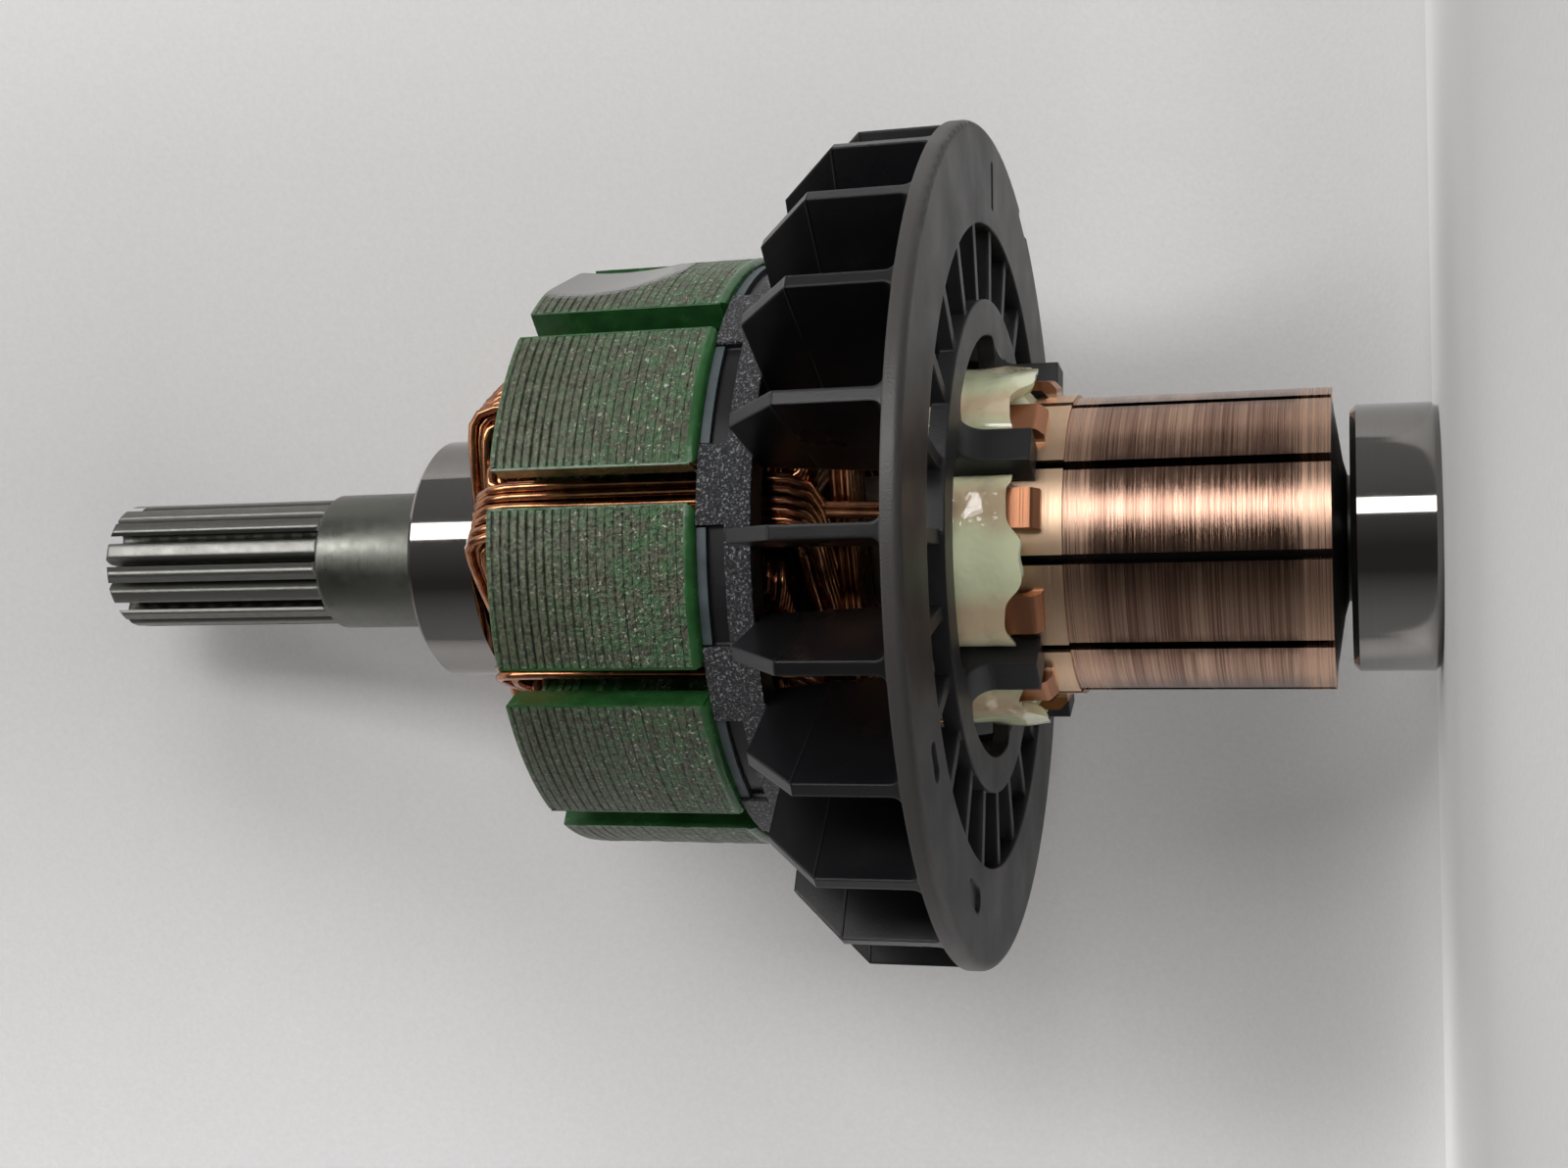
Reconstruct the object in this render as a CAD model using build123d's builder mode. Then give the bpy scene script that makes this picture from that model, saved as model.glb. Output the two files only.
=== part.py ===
# Armature of a small brushed motor: shaft with pinion, wound core, fan, commutator and two ball bearings.
# Millimetres. The shaft runs along +Z and the origin is the middle of the commutator end bearing's outer face,
# so the armature stands upright on that bearing with its pinion on top.
import os
from math import acos, asin, cos, degrees, pi, radians, sin, tan

from build123d import *

os.makedirs("parts", exist_ok=True)

# Ball bearings, one size at both ends
bearing_od = 16.0
bearing_bore = 5.0
bearing_width = 5.0
bearing_chamfer = 0.35
race_chamfer = 0.2
inner_ring_od = 8.4
outer_ring_id = 12.8
ball_diameter = 2.778
ball_count = 7
ball_play = 0.02
cage_inner_gap = 0.35
cage_outer_gap = 0.4
cage_web = 0.35
cage_prong_above = 0.7
pocket_play = 0.1
shield_thickness = 0.3
shield_inset = 0.35
shield_rebate = 0.5
shield_gap = 0.25
shield_seat_gap = 0.03

# Shaft
shaft_body_diameter = 7.0
shaft_end_recess = 0.2
shaft_end_chamfer = 0.4

# Commutator
bar_count = 10
bar_phase = -77.4
track_diameter = 18.2
track_length = 15.1
riser_diameter = 18.6
riser_length = 4.1
bar_depth = 2.3
bar_slot = 0.6
end_cone_length = 1.0
end_boss_diameter = 7.6
end_boss_height = 0.2
end_cone_small_diameter = 9.4
end_cone_rise = 0.45
end_cone_shoulder = 14.0
end_cone_inset = 0.8
moulding_slot_floor = 0.9
moulding_back_lip = 0.4
hook_width = 2.4
hook_reach = 2.9
hook_thickness = 0.55
hook_wire_gap = 0.4
hook_bend = 0.45

# Resin beads over the hooks
resin_diameter = 22.6
resin_front_overlap = 1.9
resin_back_reach = 4.4
resin_round = 0.8
resin_scallop_diameter = 4.4
resin_scallop_inset = 0.3

# Fan
blade_count = 23
blade_phase = -87.8
fan_diameter = 52.8
fan_front_gap = 1.5
fan_plate = 1.1
fan_rim_round = 0.5
inlet_diameter = 40.4
hub_ring_diameter = 31.0
hub_ring_hole = 26.6
blade_thickness = 0.8
blade_recess = 0.3
blade_inset = 0.2
blade_inner_radius = 15.0
blade_flat_length = 7.1
blade_chamfer = 3.1
blade_root_round = 0.6
blade_length = 10.3
seat_ring_diameter = 37.4
seat_ring_wall = 1.8
seat_ring_height = 1.6
seat_neck_diameter = 36.4
seat_neck_height = 1.15
seat_block_width = 4.7
finger_every = 2
finger_width = 2.2
finger_outer_diameter = 23.2
finger_reach = 4.0
finger_clearance = 0.05
finger_root_round = 1.4
balance_notch_angle = 31.0
balance_notch_width = 3.2
balance_notch_depth = 0.9
mark_depth = 0.25
mark_slot_length = 3.2
mark_slot_width = 0.6
mark_slot_radius = 23.0
mark_slot_angle = 4.0
mark_oval_length = 2.6
mark_oval_width = 1.1
mark_oval_angle = -121.0
mark_panel_length = 3.8
mark_panel_width = 1.6
mark_panel_angle = -156.0
mark_radius = 22.5

# Insulating disc between the fan and the core
seat_disc_thickness = 0.55
seat_disc_diameter = 37.0
seat_disc_gap = 0.1

# Laminated core
slot_count = 10
slot_phase = -77.9
core_diameter = 37.8
core_length = 12.8
slot_opening = 2.5
slot_floor_diameter = 17.2
slot_round = 0.5
tooth_width = 4.0
tooth_tip = 1.7
balance_cut_angle = -18.0
balance_cut_width = 9.0
balance_cut_depth = 0.55
balance_cut_from_end = 2.9
balance_cutter_diameter = 50.0

# Winding
coil_span = 4
last_coil = 7
slot_liner = 0.15
slot_fill_diameter = 30.8
coil_band = 4.2
coil_thickness = 1.8
coil_turn_diameter = 26.6
drive_overhang = 5.0
fan_overhang = 6.6
bearing_clearance = 0.7
lead_diameter = 1.2
lead_start_diameter = 24.0
lead_end_gap = 0.4

# Insulating sleeves on the shaft
sleeve_wall = 1.2
sleeve_gap = 0.2
sleeve_bearing_gap = 0.9

# Pinion
pinion_teeth = 8
pinion_phase = -75.0
pinion_module = 0.9
pressure_angle = 20.0
pinion_tip_diameter = 8.6
pinion_root_diameter = 5.3
pinion_root_round = 0.5
pinion_tooth_thickness = 1.5
pinion_face = 16.5
pinion_end_chamfer = 0.2
hub_diameter = 9.2
hub_length = 8.6
hub_chamfer = 0.2
hub_bore_depth = 8.0
shaft_end_gap = 0.2
centre_hole_diameter = 1.6
centre_hole_depth = 1.5

# Places along the shaft
bar_end_z = bearing_width + end_cone_length
step_z = bar_end_z + track_length
bar_back_z = step_z + riser_length
moulding_back_z = bar_back_z + moulding_back_lip
fan_front_z = bar_back_z + fan_front_gap
plate_back_z = fan_front_z + fan_plate
blade_end_z = fan_front_z + blade_length
neck_z = blade_end_z + seat_ring_height
disc_z = neck_z + seat_neck_height
core_z = disc_z + seat_disc_thickness
core_end_z = core_z + core_length
drive_bearing_z = core_end_z + drive_overhang + bearing_clearance
hub_z = drive_bearing_z + bearing_width
teeth_z = hub_z + hub_length

# Radii and angles that several pieces share
shaft_radius = bearing_bore / 2
body_radius = shaft_body_diameter / 2
track_radius = track_diameter / 2
riser_radius = riser_diameter / 2
bar_inner_radius = track_radius - bar_depth
fan_radius = fan_diameter / 2
core_radius = core_diameter / 2
sleeve_radius = body_radius + sleeve_wall
seat_ring_radius = seat_ring_diameter / 2
seat_bore_radius = seat_ring_radius - seat_ring_wall
bar_pitch = 360 / bar_count
slot_pitch = 360 / slot_count
finger_count = bar_count // finger_every
finger_pitch = 360 / finger_count
finger_phase = bar_phase + bar_pitch / 2


def polar(radius, angle):
    return (radius * cos(radians(angle)), radius * sin(radians(angle)))


def side_plane(angle):
    # Upright plane through the axis: its X runs outwards at the angle and its Y runs along the shaft
    return Plane(origin=(0, 0, 0), x_dir=(*polar(1, angle), 0), z_dir=(*polar(1, angle - 90), 0))


def wedge(count, gap, length):
    # One of count equal sectors about +X, kept back by half of a parallel-sided gap on each side
    half_angle = 180 / count
    apex = gap / 2 / sin(radians(half_angle))
    side = polar(length, half_angle)
    return [(apex, 0), (apex + side[0], side[1]), (apex + side[0], -side[1])]


def export(piece, name):
    piece.part.label = name
    export_step(piece.part, f"parts/{name}.step")


# Shaft: a bearing seat at each end and a thicker body between their shoulders
shaft_end_z = hub_z + hub_bore_depth - shaft_end_gap
with BuildPart() as shaft:
    with BuildSketch(Plane.XZ):
        with BuildLine():
            Polyline(
                (0, shaft_end_recess),
                (shaft_radius, shaft_end_recess),
                (shaft_radius, bearing_width),
                (body_radius, bearing_width),
                (body_radius, drive_bearing_z),
                (shaft_radius, drive_bearing_z),
                (shaft_radius, shaft_end_z),
                (0, shaft_end_z),
                close=True,
            )
        make_face()
    revolve(axis=Axis.Z)
    shaft_rims = shaft.edges().filter_by(GeomType.CIRCLE).group_by(Axis.Z)
    chamfer(shaft_rims[0] + shaft_rims[-1], length=shaft_end_chamfer)
export(shaft, "shaft")

# Ball bearing: two grooved rings, a snap cage full of balls and a shield pressed into each side of the outer ring
ball_radius = ball_diameter / 2
pitch_radius = (inner_ring_od + outer_ring_id) / 4
rebate_radius = outer_ring_id / 2 + shield_rebate
rebate_depth = shield_inset + shield_thickness


def export_ring(name, base_z, inner_radius, outer_radius, chamfered_radius, chamfer_length, rebates):
    with BuildPart() as ring:
        with BuildSketch(Plane.XY.offset(base_z)):
            Circle(outer_radius)
            Circle(inner_radius, mode=Mode.SUBTRACT)
        extrude(amount=bearing_width)
        rims = ring.edges().filter_by(GeomType.CIRCLE)
        chamfer(rims.filter_by(lambda rim: abs(rim.radius - chamfered_radius) < 0.01), length=chamfer_length)
        with BuildSketch(Plane.XZ):
            with Locations((pitch_radius, base_z + bearing_width / 2)):
                Circle(ball_radius + ball_play)
        revolve(axis=Axis.Z, mode=Mode.SUBTRACT)
        for rebate_z in rebates:
            with BuildSketch(Plane.XY.offset(rebate_z)):
                Circle(rebate_radius)
            extrude(amount=rebate_depth, mode=Mode.SUBTRACT)
    export(ring, name)


def export_bearing(name, base_z):
    middle_z = base_z + bearing_width / 2
    upper_rebate_z = base_z + bearing_width - rebate_depth
    export_ring(f"{name}_inner_ring", base_z, shaft_radius, inner_ring_od / 2, shaft_radius, race_chamfer, [])
    export_ring(
        f"{name}_outer_ring",
        base_z,
        outer_ring_id / 2,
        bearing_od / 2,
        bearing_od / 2,
        bearing_chamfer,
        [base_z, upper_rebate_z],
    )

    with BuildPart() as balls:
        with Locations((0, 0, middle_z)):
            with PolarLocations(pitch_radius, ball_count):
                Sphere(ball_radius)
    export(balls, f"{name}_balls")

    pocket_radius = ball_radius + pocket_play
    cage_bottom_z = middle_z - pocket_radius - cage_web
    with BuildPart() as cage:
        with BuildSketch(Plane.XY.offset(cage_bottom_z)):
            Circle(outer_ring_id / 2 - cage_outer_gap)
            Circle(inner_ring_od / 2 + cage_inner_gap, mode=Mode.SUBTRACT)
        extrude(amount=middle_z + cage_prong_above - cage_bottom_z)
        with Locations((0, 0, middle_z)):
            with PolarLocations(pitch_radius, ball_count):
                Cylinder(pocket_radius, outer_ring_id, rotation=(0, 90, 0), mode=Mode.SUBTRACT)
    export(cage, f"{name}_cage")

    for side, shield_z in (("lower", base_z + shield_inset), ("upper", upper_rebate_z)):
        with BuildPart() as shield:
            with BuildSketch(Plane.XY.offset(shield_z)):
                Circle(rebate_radius - shield_seat_gap)
                Circle(inner_ring_od / 2 + shield_gap, mode=Mode.SUBTRACT)
            extrude(amount=shield_thickness)
        export(shield, f"{name}_{side}_shield")


export_bearing("end_bearing", 0)
export_bearing("drive_bearing", drive_bearing_z)

# Commutator moulding: sleeve under the bars, coned at its outer end, with a short boss against the bearing
with BuildPart() as commutator_moulding:
    with BuildSketch(Plane.XZ):
        with BuildLine():
            Polyline(
                (body_radius, bearing_width),
                (end_boss_diameter / 2, bearing_width),
                (end_boss_diameter / 2, bearing_width + end_boss_height),
                (end_cone_small_diameter / 2, bearing_width + end_cone_rise),
                (end_cone_shoulder / 2, bar_end_z - end_boss_height),
                (track_radius - end_cone_inset, bar_end_z),
                (bar_inner_radius, bar_end_z),
                (bar_inner_radius, bar_back_z),
                (riser_radius - moulding_slot_floor, bar_back_z),
                (riser_radius - moulding_slot_floor, moulding_back_z),
                (body_radius, moulding_back_z),
                close=True,
            )
        make_face()
    revolve(axis=Axis.Z)
export(commutator_moulding, "commutator_moulding")

# Commutator bar: a sector of the brush track, its taller riser and a hook folded back over the riser
hook_outer_radius = riser_radius + hook_wire_gap + hook_thickness
hook_tip_z = bar_back_z - hook_reach
with BuildPart() as bar:
    for start_z, length, outer_radius in (
        (bar_end_z, track_length, track_radius),
        (step_z, riser_length, riser_radius),
    ):
        with BuildSketch(Plane.XY.offset(start_z)):
            Circle(outer_radius)
            Circle(bar_inner_radius, mode=Mode.SUBTRACT)
            Polygon(*wedge(bar_count, bar_slot, riser_diameter), align=None, mode=Mode.INTERSECT)
        extrude(amount=length)
    with BuildSketch(Plane.XZ) as hook_side:
        with BuildLine():
            Polyline(
                (riser_radius - hook_thickness, hook_tip_z),
                (riser_radius + hook_bend, hook_tip_z),
                (hook_outer_radius, hook_tip_z + hook_bend),
                (hook_outer_radius, bar_back_z),
                (riser_radius - hook_thickness, bar_back_z),
                (riser_radius - hook_thickness, bar_back_z - hook_thickness),
                (riser_radius + hook_wire_gap, bar_back_z - hook_thickness),
                (riser_radius + hook_wire_gap, hook_tip_z + hook_thickness + hook_wire_gap),
                (riser_radius, hook_tip_z + hook_thickness),
                (riser_radius - hook_thickness, hook_tip_z + hook_thickness),
                close=True,
            )
        make_face()
        fillet(hook_side.vertices().sort_by(Axis.X)[-2:], radius=hook_bend)
    extrude(amount=hook_width / 2, both=True)

for index in range(bar_count):
    with BuildPart() as placed_bar:
        add(bar.part, rotation=(0, 0, bar_phase + index * bar_pitch))
    export(placed_bar, f"commutator_bar_{index + 1:02d}")

# Laminated core: parallel-sided teeth with overhanging tips and a shallow scallop ground in one for balance
slot_floor_radius = slot_floor_diameter / 2
slot_top_radius = (core_radius - tooth_tip) * cos(radians(slot_pitch / 2)) + tooth_tip / 2


def slot_half_width(radius, liner):
    half_pitch = radians(slot_pitch / 2)
    return radius * tan(half_pitch) - tooth_width / 2 / cos(half_pitch) - liner


def draw_slot_body(liner, high):
    # The slot's wide part about +X up to a radius, drawn in from its walls by the liner, with rounded corners
    low = slot_floor_radius + liner
    low_half, high_half = slot_half_width(low, liner), slot_half_width(high, liner)
    Polygon((low, low_half), (high, high_half), (high, -high_half), (low, -low_half), align=None)
    fillet(vertices(), radius=slot_round - liner)


with BuildSketch() as slot_section:
    draw_slot_body(0, slot_top_radius)
    with Locations(((slot_top_radius + core_radius) / 2, 0)):
        Rectangle(core_radius - slot_top_radius + 2 * slot_round, slot_opening)

with BuildSketch() as slot_fill:
    draw_slot_body(slot_liner, slot_fill_diameter / 2)

with BuildPart() as core:
    with BuildSketch(Plane.XY.offset(core_z)):
        Circle(core_radius)
        Circle(body_radius, mode=Mode.SUBTRACT)
        with PolarLocations(0, slot_count, start_angle=slot_phase):
            add(slot_section.sketch, mode=Mode.SUBTRACT)
    extrude(amount=core_length)
    cutter_centre = polar(core_radius - balance_cut_depth + balance_cutter_diameter / 2, balance_cut_angle)
    balance_cut = Plane(
        origin=(*cutter_centre, core_end_z - balance_cut_from_end),
        x_dir=(0, 0, 1),
        z_dir=(*polar(1, balance_cut_angle + 90), 0),
    )
    with BuildSketch(balance_cut):
        Circle(balance_cutter_diameter / 2)
    extrude(amount=balance_cut_width / 2, both=True, mode=Mode.SUBTRACT)
export(core, "lamination_stack")

# Insulating disc under the fan's seat: open at every slot and notched for the seat's blocks
with BuildPart() as seat_disc:
    with BuildSketch(Plane.XY.offset(disc_z)):
        Circle(seat_disc_diameter / 2)
        Circle(sleeve_radius + sleeve_gap, mode=Mode.SUBTRACT)
        with PolarLocations(0, slot_count, start_angle=slot_phase):
            add(slot_section.sketch, mode=Mode.SUBTRACT)
        with PolarLocations(seat_ring_radius, slot_count, start_angle=slot_phase):
            Rectangle(2 * (seat_ring_wall + seat_disc_gap), seat_block_width + 2 * seat_disc_gap, mode=Mode.SUBTRACT)
    extrude(amount=seat_disc_thickness)
export(seat_disc, "seat_disc")

# Insulating sleeves on the shaft, inside the end turns
for name, low_z, high_z in (
    ("drive_end_sleeve", core_end_z, drive_bearing_z - sleeve_bearing_gap),
    ("fan_end_sleeve", moulding_back_z, core_z),
):
    with BuildPart() as sleeve:
        with BuildSketch(Plane.XY.offset(low_z)):
            Circle(sleeve_radius)
            Circle(body_radius, mode=Mode.SUBTRACT)
        extrude(amount=high_z - low_z)
    export(sleeve, name)

# Winding: filled slots, overlapping end turns bent round the sleeve at each end and a lead to every hook
turn_radius = coil_turn_diameter / 2
middle_radius = sleeve_radius + sleeve_gap + coil_band / 2
layer_count = slot_count // 2
coil_routes = []
for index in range(slot_count):
    start_angle = slot_phase + index * slot_pitch
    end_angle = start_angle + coil_span * slot_pitch
    with BuildLine() as coil_route:
        ThreePointArc(
            polar(turn_radius, start_angle),
            polar(middle_radius, (start_angle + end_angle) / 2),
            polar(turn_radius, end_angle),
        )
    coil_routes.append(coil_route.edges()[0])


def coil_layer(index):
    # Opposite coils share a layer, and the last pair to be wound lies outermost
    return (index - last_coil - 1) % layer_count


with BuildPart() as leads:
    for index in range(bar_count):
        angle = bar_phase + index * bar_pitch
        lead_top = Vector(*polar(lead_start_diameter / 2, angle), disc_z - fan_overhang / layer_count)
        lead_end = Vector(*polar(hook_outer_radius, angle), bar_back_z + lead_end_gap)
        with BuildSketch(Plane(origin=lead_end, z_dir=lead_top - lead_end)):
            Circle(lead_diameter / 2)
        extrude(amount=(lead_top - lead_end).length)

with BuildPart() as winding:
    with BuildSketch(Plane.XY.offset(core_z)):
        with PolarLocations(0, slot_count, start_angle=slot_phase):
            add(slot_fill.sketch)
    extrude(amount=core_length)
    for slot_end_z, face_z, overhang, sign in (
        (core_end_z, core_end_z, drive_overhang, 1),
        (core_z, disc_z, fan_overhang, -1),
    ):
        layer_step = (overhang - coil_thickness) / (layer_count - 1)
        for index in range(slot_count):
            layer = coil_layer(index)
            with BuildSketch(Plane.XY.offset(face_z + sign * layer * layer_step)):
                SlotArc(coil_routes[index], coil_band)
            extrude(amount=sign * coil_thickness)
            top_layer = max(layer, coil_layer(index - coil_span))
            with BuildSketch(Plane.XY.offset(slot_end_z)):
                with PolarLocations(0, 1, start_angle=slot_phase + index * slot_pitch):
                    add(slot_fill.sketch)
            extrude(amount=face_z - slot_end_z + sign * (top_layer * layer_step + coil_thickness / 2))
    add(leads.part)
export(winding, "winding")

# Fan, one moulding: slotted inlet plate, radial blades, seat ring with a block at each slot, fingers at the hub
blade_outline = [
    (blade_inner_radius, fan_front_z + blade_recess),
    (fan_radius - blade_inset, fan_front_z + blade_recess),
    (fan_radius - blade_inset, fan_front_z + blade_flat_length),
    (fan_radius - blade_chamfer, blade_end_z),
    (seat_bore_radius, blade_end_z),
]
root_top_z = plate_back_z + blade_root_round
root_foot_z = plate_back_z - fan_plate / 2
root_half_width = blade_thickness / 2 + blade_root_round
root_middle = (root_half_width - blade_root_round * cos(pi / 4), root_top_z - blade_root_round * sin(pi / 4))
finger_inner_radius = riser_radius + finger_clearance
finger_outer_radius = finger_outer_diameter / 2
finger_tip_z = fan_front_z - finger_reach
hub_inner_radius = hub_ring_hole / 2
hub_middle_radius = (hub_inner_radius + hub_ring_diameter / 2) / 2
root_angle = degrees(asin(finger_width / 2 / hub_inner_radius))
root_points = []
for index in range(finger_count):
    for side in (-1, 1):
        root_points.append(Vector(*polar(hub_inner_radius, finger_phase + index * finger_pitch + side * root_angle)))


def is_finger_root(corner):
    return min((corner.center() - point).length for point in root_points) < 0.01


with BuildPart() as fan:
    with BuildSketch(Plane.XY.offset(fan_front_z)):
        Circle(fan_radius)
        Circle(inlet_diameter / 2, mode=Mode.SUBTRACT)
    extrude(amount=fan_plate)
    front_rims = fan.edges().filter_by(GeomType.CIRCLE).group_by(Axis.Z)[0]
    fillet(front_rims.sort_by(SortBy.RADIUS)[-1], radius=fan_rim_round)
    with BuildSketch(Plane.XY.offset(fan_front_z)) as hub_section:
        Circle(hub_ring_diameter / 2)
        Circle(hub_inner_radius, mode=Mode.SUBTRACT)
        with PolarLocations((finger_inner_radius + hub_middle_radius) / 2, finger_count, start_angle=finger_phase):
            Rectangle(hub_middle_radius - finger_inner_radius, finger_width)
        fillet(hub_section.vertices().filter_by(is_finger_root), radius=finger_root_round)
    extrude(amount=fan_plate)
    for index in range(finger_count):
        with BuildSketch(side_plane(finger_phase + index * finger_pitch)):
            with BuildLine():
                Polyline(
                    (finger_outer_radius, fan_front_z - finger_root_round),
                    (finger_outer_radius, finger_tip_z),
                    (finger_inner_radius, finger_tip_z),
                    (finger_inner_radius, plate_back_z),
                    (hub_middle_radius, plate_back_z),
                    (hub_middle_radius, fan_front_z),
                    (finger_outer_radius + finger_root_round, fan_front_z),
                )
                TangentArc(
                    (finger_outer_radius, fan_front_z - finger_root_round),
                    (finger_outer_radius + finger_root_round, fan_front_z),
                    tangent=(0, 1),
                )
            make_face()
        extrude(amount=finger_width / 2, both=True)
    for index in range(blade_count):
        blade_plane = side_plane(blade_phase + index * 360 / blade_count)
        with BuildSketch(blade_plane):
            Polygon(*blade_outline, align=None)
        extrude(amount=blade_thickness / 2, both=True)
        root_plane = Plane(
            origin=blade_plane.x_dir * inlet_diameter / 2,
            x_dir=-blade_plane.z_dir,
            z_dir=blade_plane.x_dir,
        )
        with BuildSketch(root_plane):
            with BuildLine():
                for side in (-1, 1):
                    ThreePointArc(
                        (side * blade_thickness / 2, root_top_z),
                        (side * root_middle[0], root_middle[1]),
                        (side * root_half_width, plate_back_z),
                    )
                    Line((side * root_half_width, plate_back_z), (side * root_half_width, root_foot_z))
                Line((-blade_thickness / 2, root_top_z), (blade_thickness / 2, root_top_z))
                Line((-root_half_width, root_foot_z), (root_half_width, root_foot_z))
            make_face()
        extrude(amount=fan_radius - blade_inset - inlet_diameter / 2)
    for low_z, height, outer_radius in (
        (blade_end_z, seat_ring_height, seat_ring_radius),
        (neck_z, seat_neck_height, seat_neck_diameter / 2),
    ):
        with BuildSketch(Plane.XY.offset(low_z)):
            Circle(outer_radius)
            Circle(seat_bore_radius, mode=Mode.SUBTRACT)
        extrude(amount=height)
    with BuildSketch(Plane.XY.offset(blade_end_z)):
        with PolarLocations(seat_ring_radius, slot_count, start_angle=slot_phase):
            Rectangle(2 * seat_ring_wall, seat_block_width)
        Circle(seat_ring_radius, mode=Mode.INTERSECT)
        Circle(seat_bore_radius, mode=Mode.SUBTRACT)
    extrude(amount=core_z - blade_end_z)
    with BuildSketch(Plane.XY.offset(fan_front_z)):
        with PolarLocations(fan_radius, 1, start_angle=balance_notch_angle):
            Rectangle(2 * balance_notch_depth, balance_notch_width)
    extrude(amount=fan_plate, mode=Mode.SUBTRACT)
    with BuildSketch(Plane.XY.offset(fan_front_z)):
        with PolarLocations(mark_slot_radius, 1, start_angle=mark_slot_angle):
            SlotOverall(mark_slot_length, mark_slot_width)
        with PolarLocations(mark_radius, 1, start_angle=mark_oval_angle):
            SlotOverall(mark_oval_length, mark_oval_width, rotation=90)
        with PolarLocations(mark_radius, 1, start_angle=mark_panel_angle):
            SlotOverall(mark_panel_length, mark_panel_width, rotation=90)
    extrude(amount=mark_depth, mode=Mode.SUBTRACT)
export(fan, "fan")

# Resin bead over each pair of hooks, between two of the fan's fingers
resin_radius = resin_diameter / 2
resin_front_z = bar_back_z - resin_front_overlap
resin_back_z = bar_back_z + resin_back_reach
with BuildPart() as bead:
    with BuildSketch(Plane.XZ) as bead_side:
        with BuildLine():
            Polyline(
                (riser_radius, resin_front_z),
                (resin_radius, resin_front_z),
                (resin_radius, resin_back_z),
                (riser_radius, resin_back_z),
                close=True,
            )
        make_face()
        fillet(bead_side.vertices().sort_by(Axis.X)[-2:], radius=resin_round)
    revolve(axis=Axis.Z)
    with BuildSketch(Plane.XY.offset(resin_front_z)):
        Polygon(*wedge(finger_count, finger_width + 2 * finger_clearance, fan_diameter), align=None)
    extrude(amount=resin_back_z - resin_front_z, mode=Mode.INTERSECT)
    for side in (-1, 1):
        hook_way = Vector(*polar(1, side * bar_pitch / 2), 0)
        scallop_centre = hook_way * riser_radius + Vector(0, 0, hook_tip_z - resin_scallop_inset)
        with BuildSketch(Plane(origin=scallop_centre, x_dir=(0, 0, 1), z_dir=hook_way)):
            Circle(resin_scallop_diameter / 2)
        extrude(amount=resin_radius, mode=Mode.SUBTRACT)

for index in range(finger_count):
    bead_angle = finger_phase + (index + 0.5) * finger_pitch
    with BuildPart() as placed_bead:
        add(bead.part, rotation=(0, 0, bead_angle))
        for side in (-1, 1):
            add(bar.part, rotation=(0, 0, bead_angle + side * bar_pitch / 2), mode=Mode.SUBTRACT)
        add(leads.part, mode=Mode.SUBTRACT)
    export(placed_bead, f"resin_bead_{index + 1}")

# Pinion: involute teeth with rounded roots and a plain hub that is pressed on the shaft
pitch_circle_radius = pinion_module * pinion_teeth / 2
base_radius = pitch_circle_radius * cos(radians(pressure_angle))
tip_radius = pinion_tip_diameter / 2
root_radius = pinion_root_diameter / 2
flank_steps = 5
flank_top_radius = tip_radius + pinion_end_chamfer


def involute(angle):
    return tan(angle) - angle


def space_point(radius, side):
    # Point at a radius on one side of a tooth space whose middle lies along +X
    roll = acos(min(1, base_radius / radius))
    half_tooth = pinion_tooth_thickness / 2 / pitch_circle_radius + involute(radians(pressure_angle)) - involute(roll)
    return polar(radius, side * degrees(pi / pinion_teeth - half_tooth))


flank_radii = [base_radius + (flank_top_radius - base_radius) * step / flank_steps for step in range(flank_steps + 1)]
root_corner = (root_radius + pinion_root_round, pinion_root_round)
with BuildSketch() as tooth_space:
    with BuildLine():
        upper = Spline(*[space_point(radius, 1) for radius in flank_radii])
        lower = Spline(*[space_point(radius, -1) for radius in flank_radii])
        Line(upper @ 1, lower @ 1)
        Line(upper @ 0, root_corner)
        Line(lower @ 0, (root_corner[0], -root_corner[1]))
        ThreePointArc(root_corner, (root_radius, 0), (root_corner[0], -root_corner[1]))
    make_face()

with BuildPart() as pinion:
    with BuildSketch(Plane.XY.offset(teeth_z)):
        Circle(tip_radius)
    extrude(amount=pinion_face)
    chamfer(pinion.edges().filter_by(GeomType.CIRCLE).group_by(Axis.Z)[-1], length=pinion_end_chamfer)
    with BuildSketch(Plane.XY.offset(teeth_z)):
        with PolarLocations(0, pinion_teeth, start_angle=pinion_phase + 180 / pinion_teeth):
            add(tooth_space.sketch)
    extrude(amount=pinion_face, mode=Mode.SUBTRACT)
    with BuildSketch(Plane.XZ):
        with BuildLine():
            Polyline(
                (0, hub_z),
                (hub_diameter / 2 - hub_chamfer, hub_z),
                (hub_diameter / 2, hub_z + hub_chamfer),
                (hub_diameter / 2, teeth_z - hub_chamfer),
                (hub_diameter / 2 - hub_chamfer, teeth_z),
                (0, teeth_z),
                close=True,
            )
        make_face()
    revolve(axis=Axis.Z)
    with BuildSketch(Plane.XY.offset(hub_z)):
        Circle(shaft_radius)
    extrude(amount=hub_bore_depth, mode=Mode.SUBTRACT)
    with BuildSketch(Plane.XY.offset(teeth_z + pinion_face)):
        Circle(centre_hole_diameter / 2)
    extrude(amount=-centre_hole_depth, mode=Mode.SUBTRACT)
export(pinion, "pinion")
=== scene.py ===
import math

import bmesh
import bpy
from mathutils import Matrix, Vector, noise
from mathutils.geometry import tessellate_polygon


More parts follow.
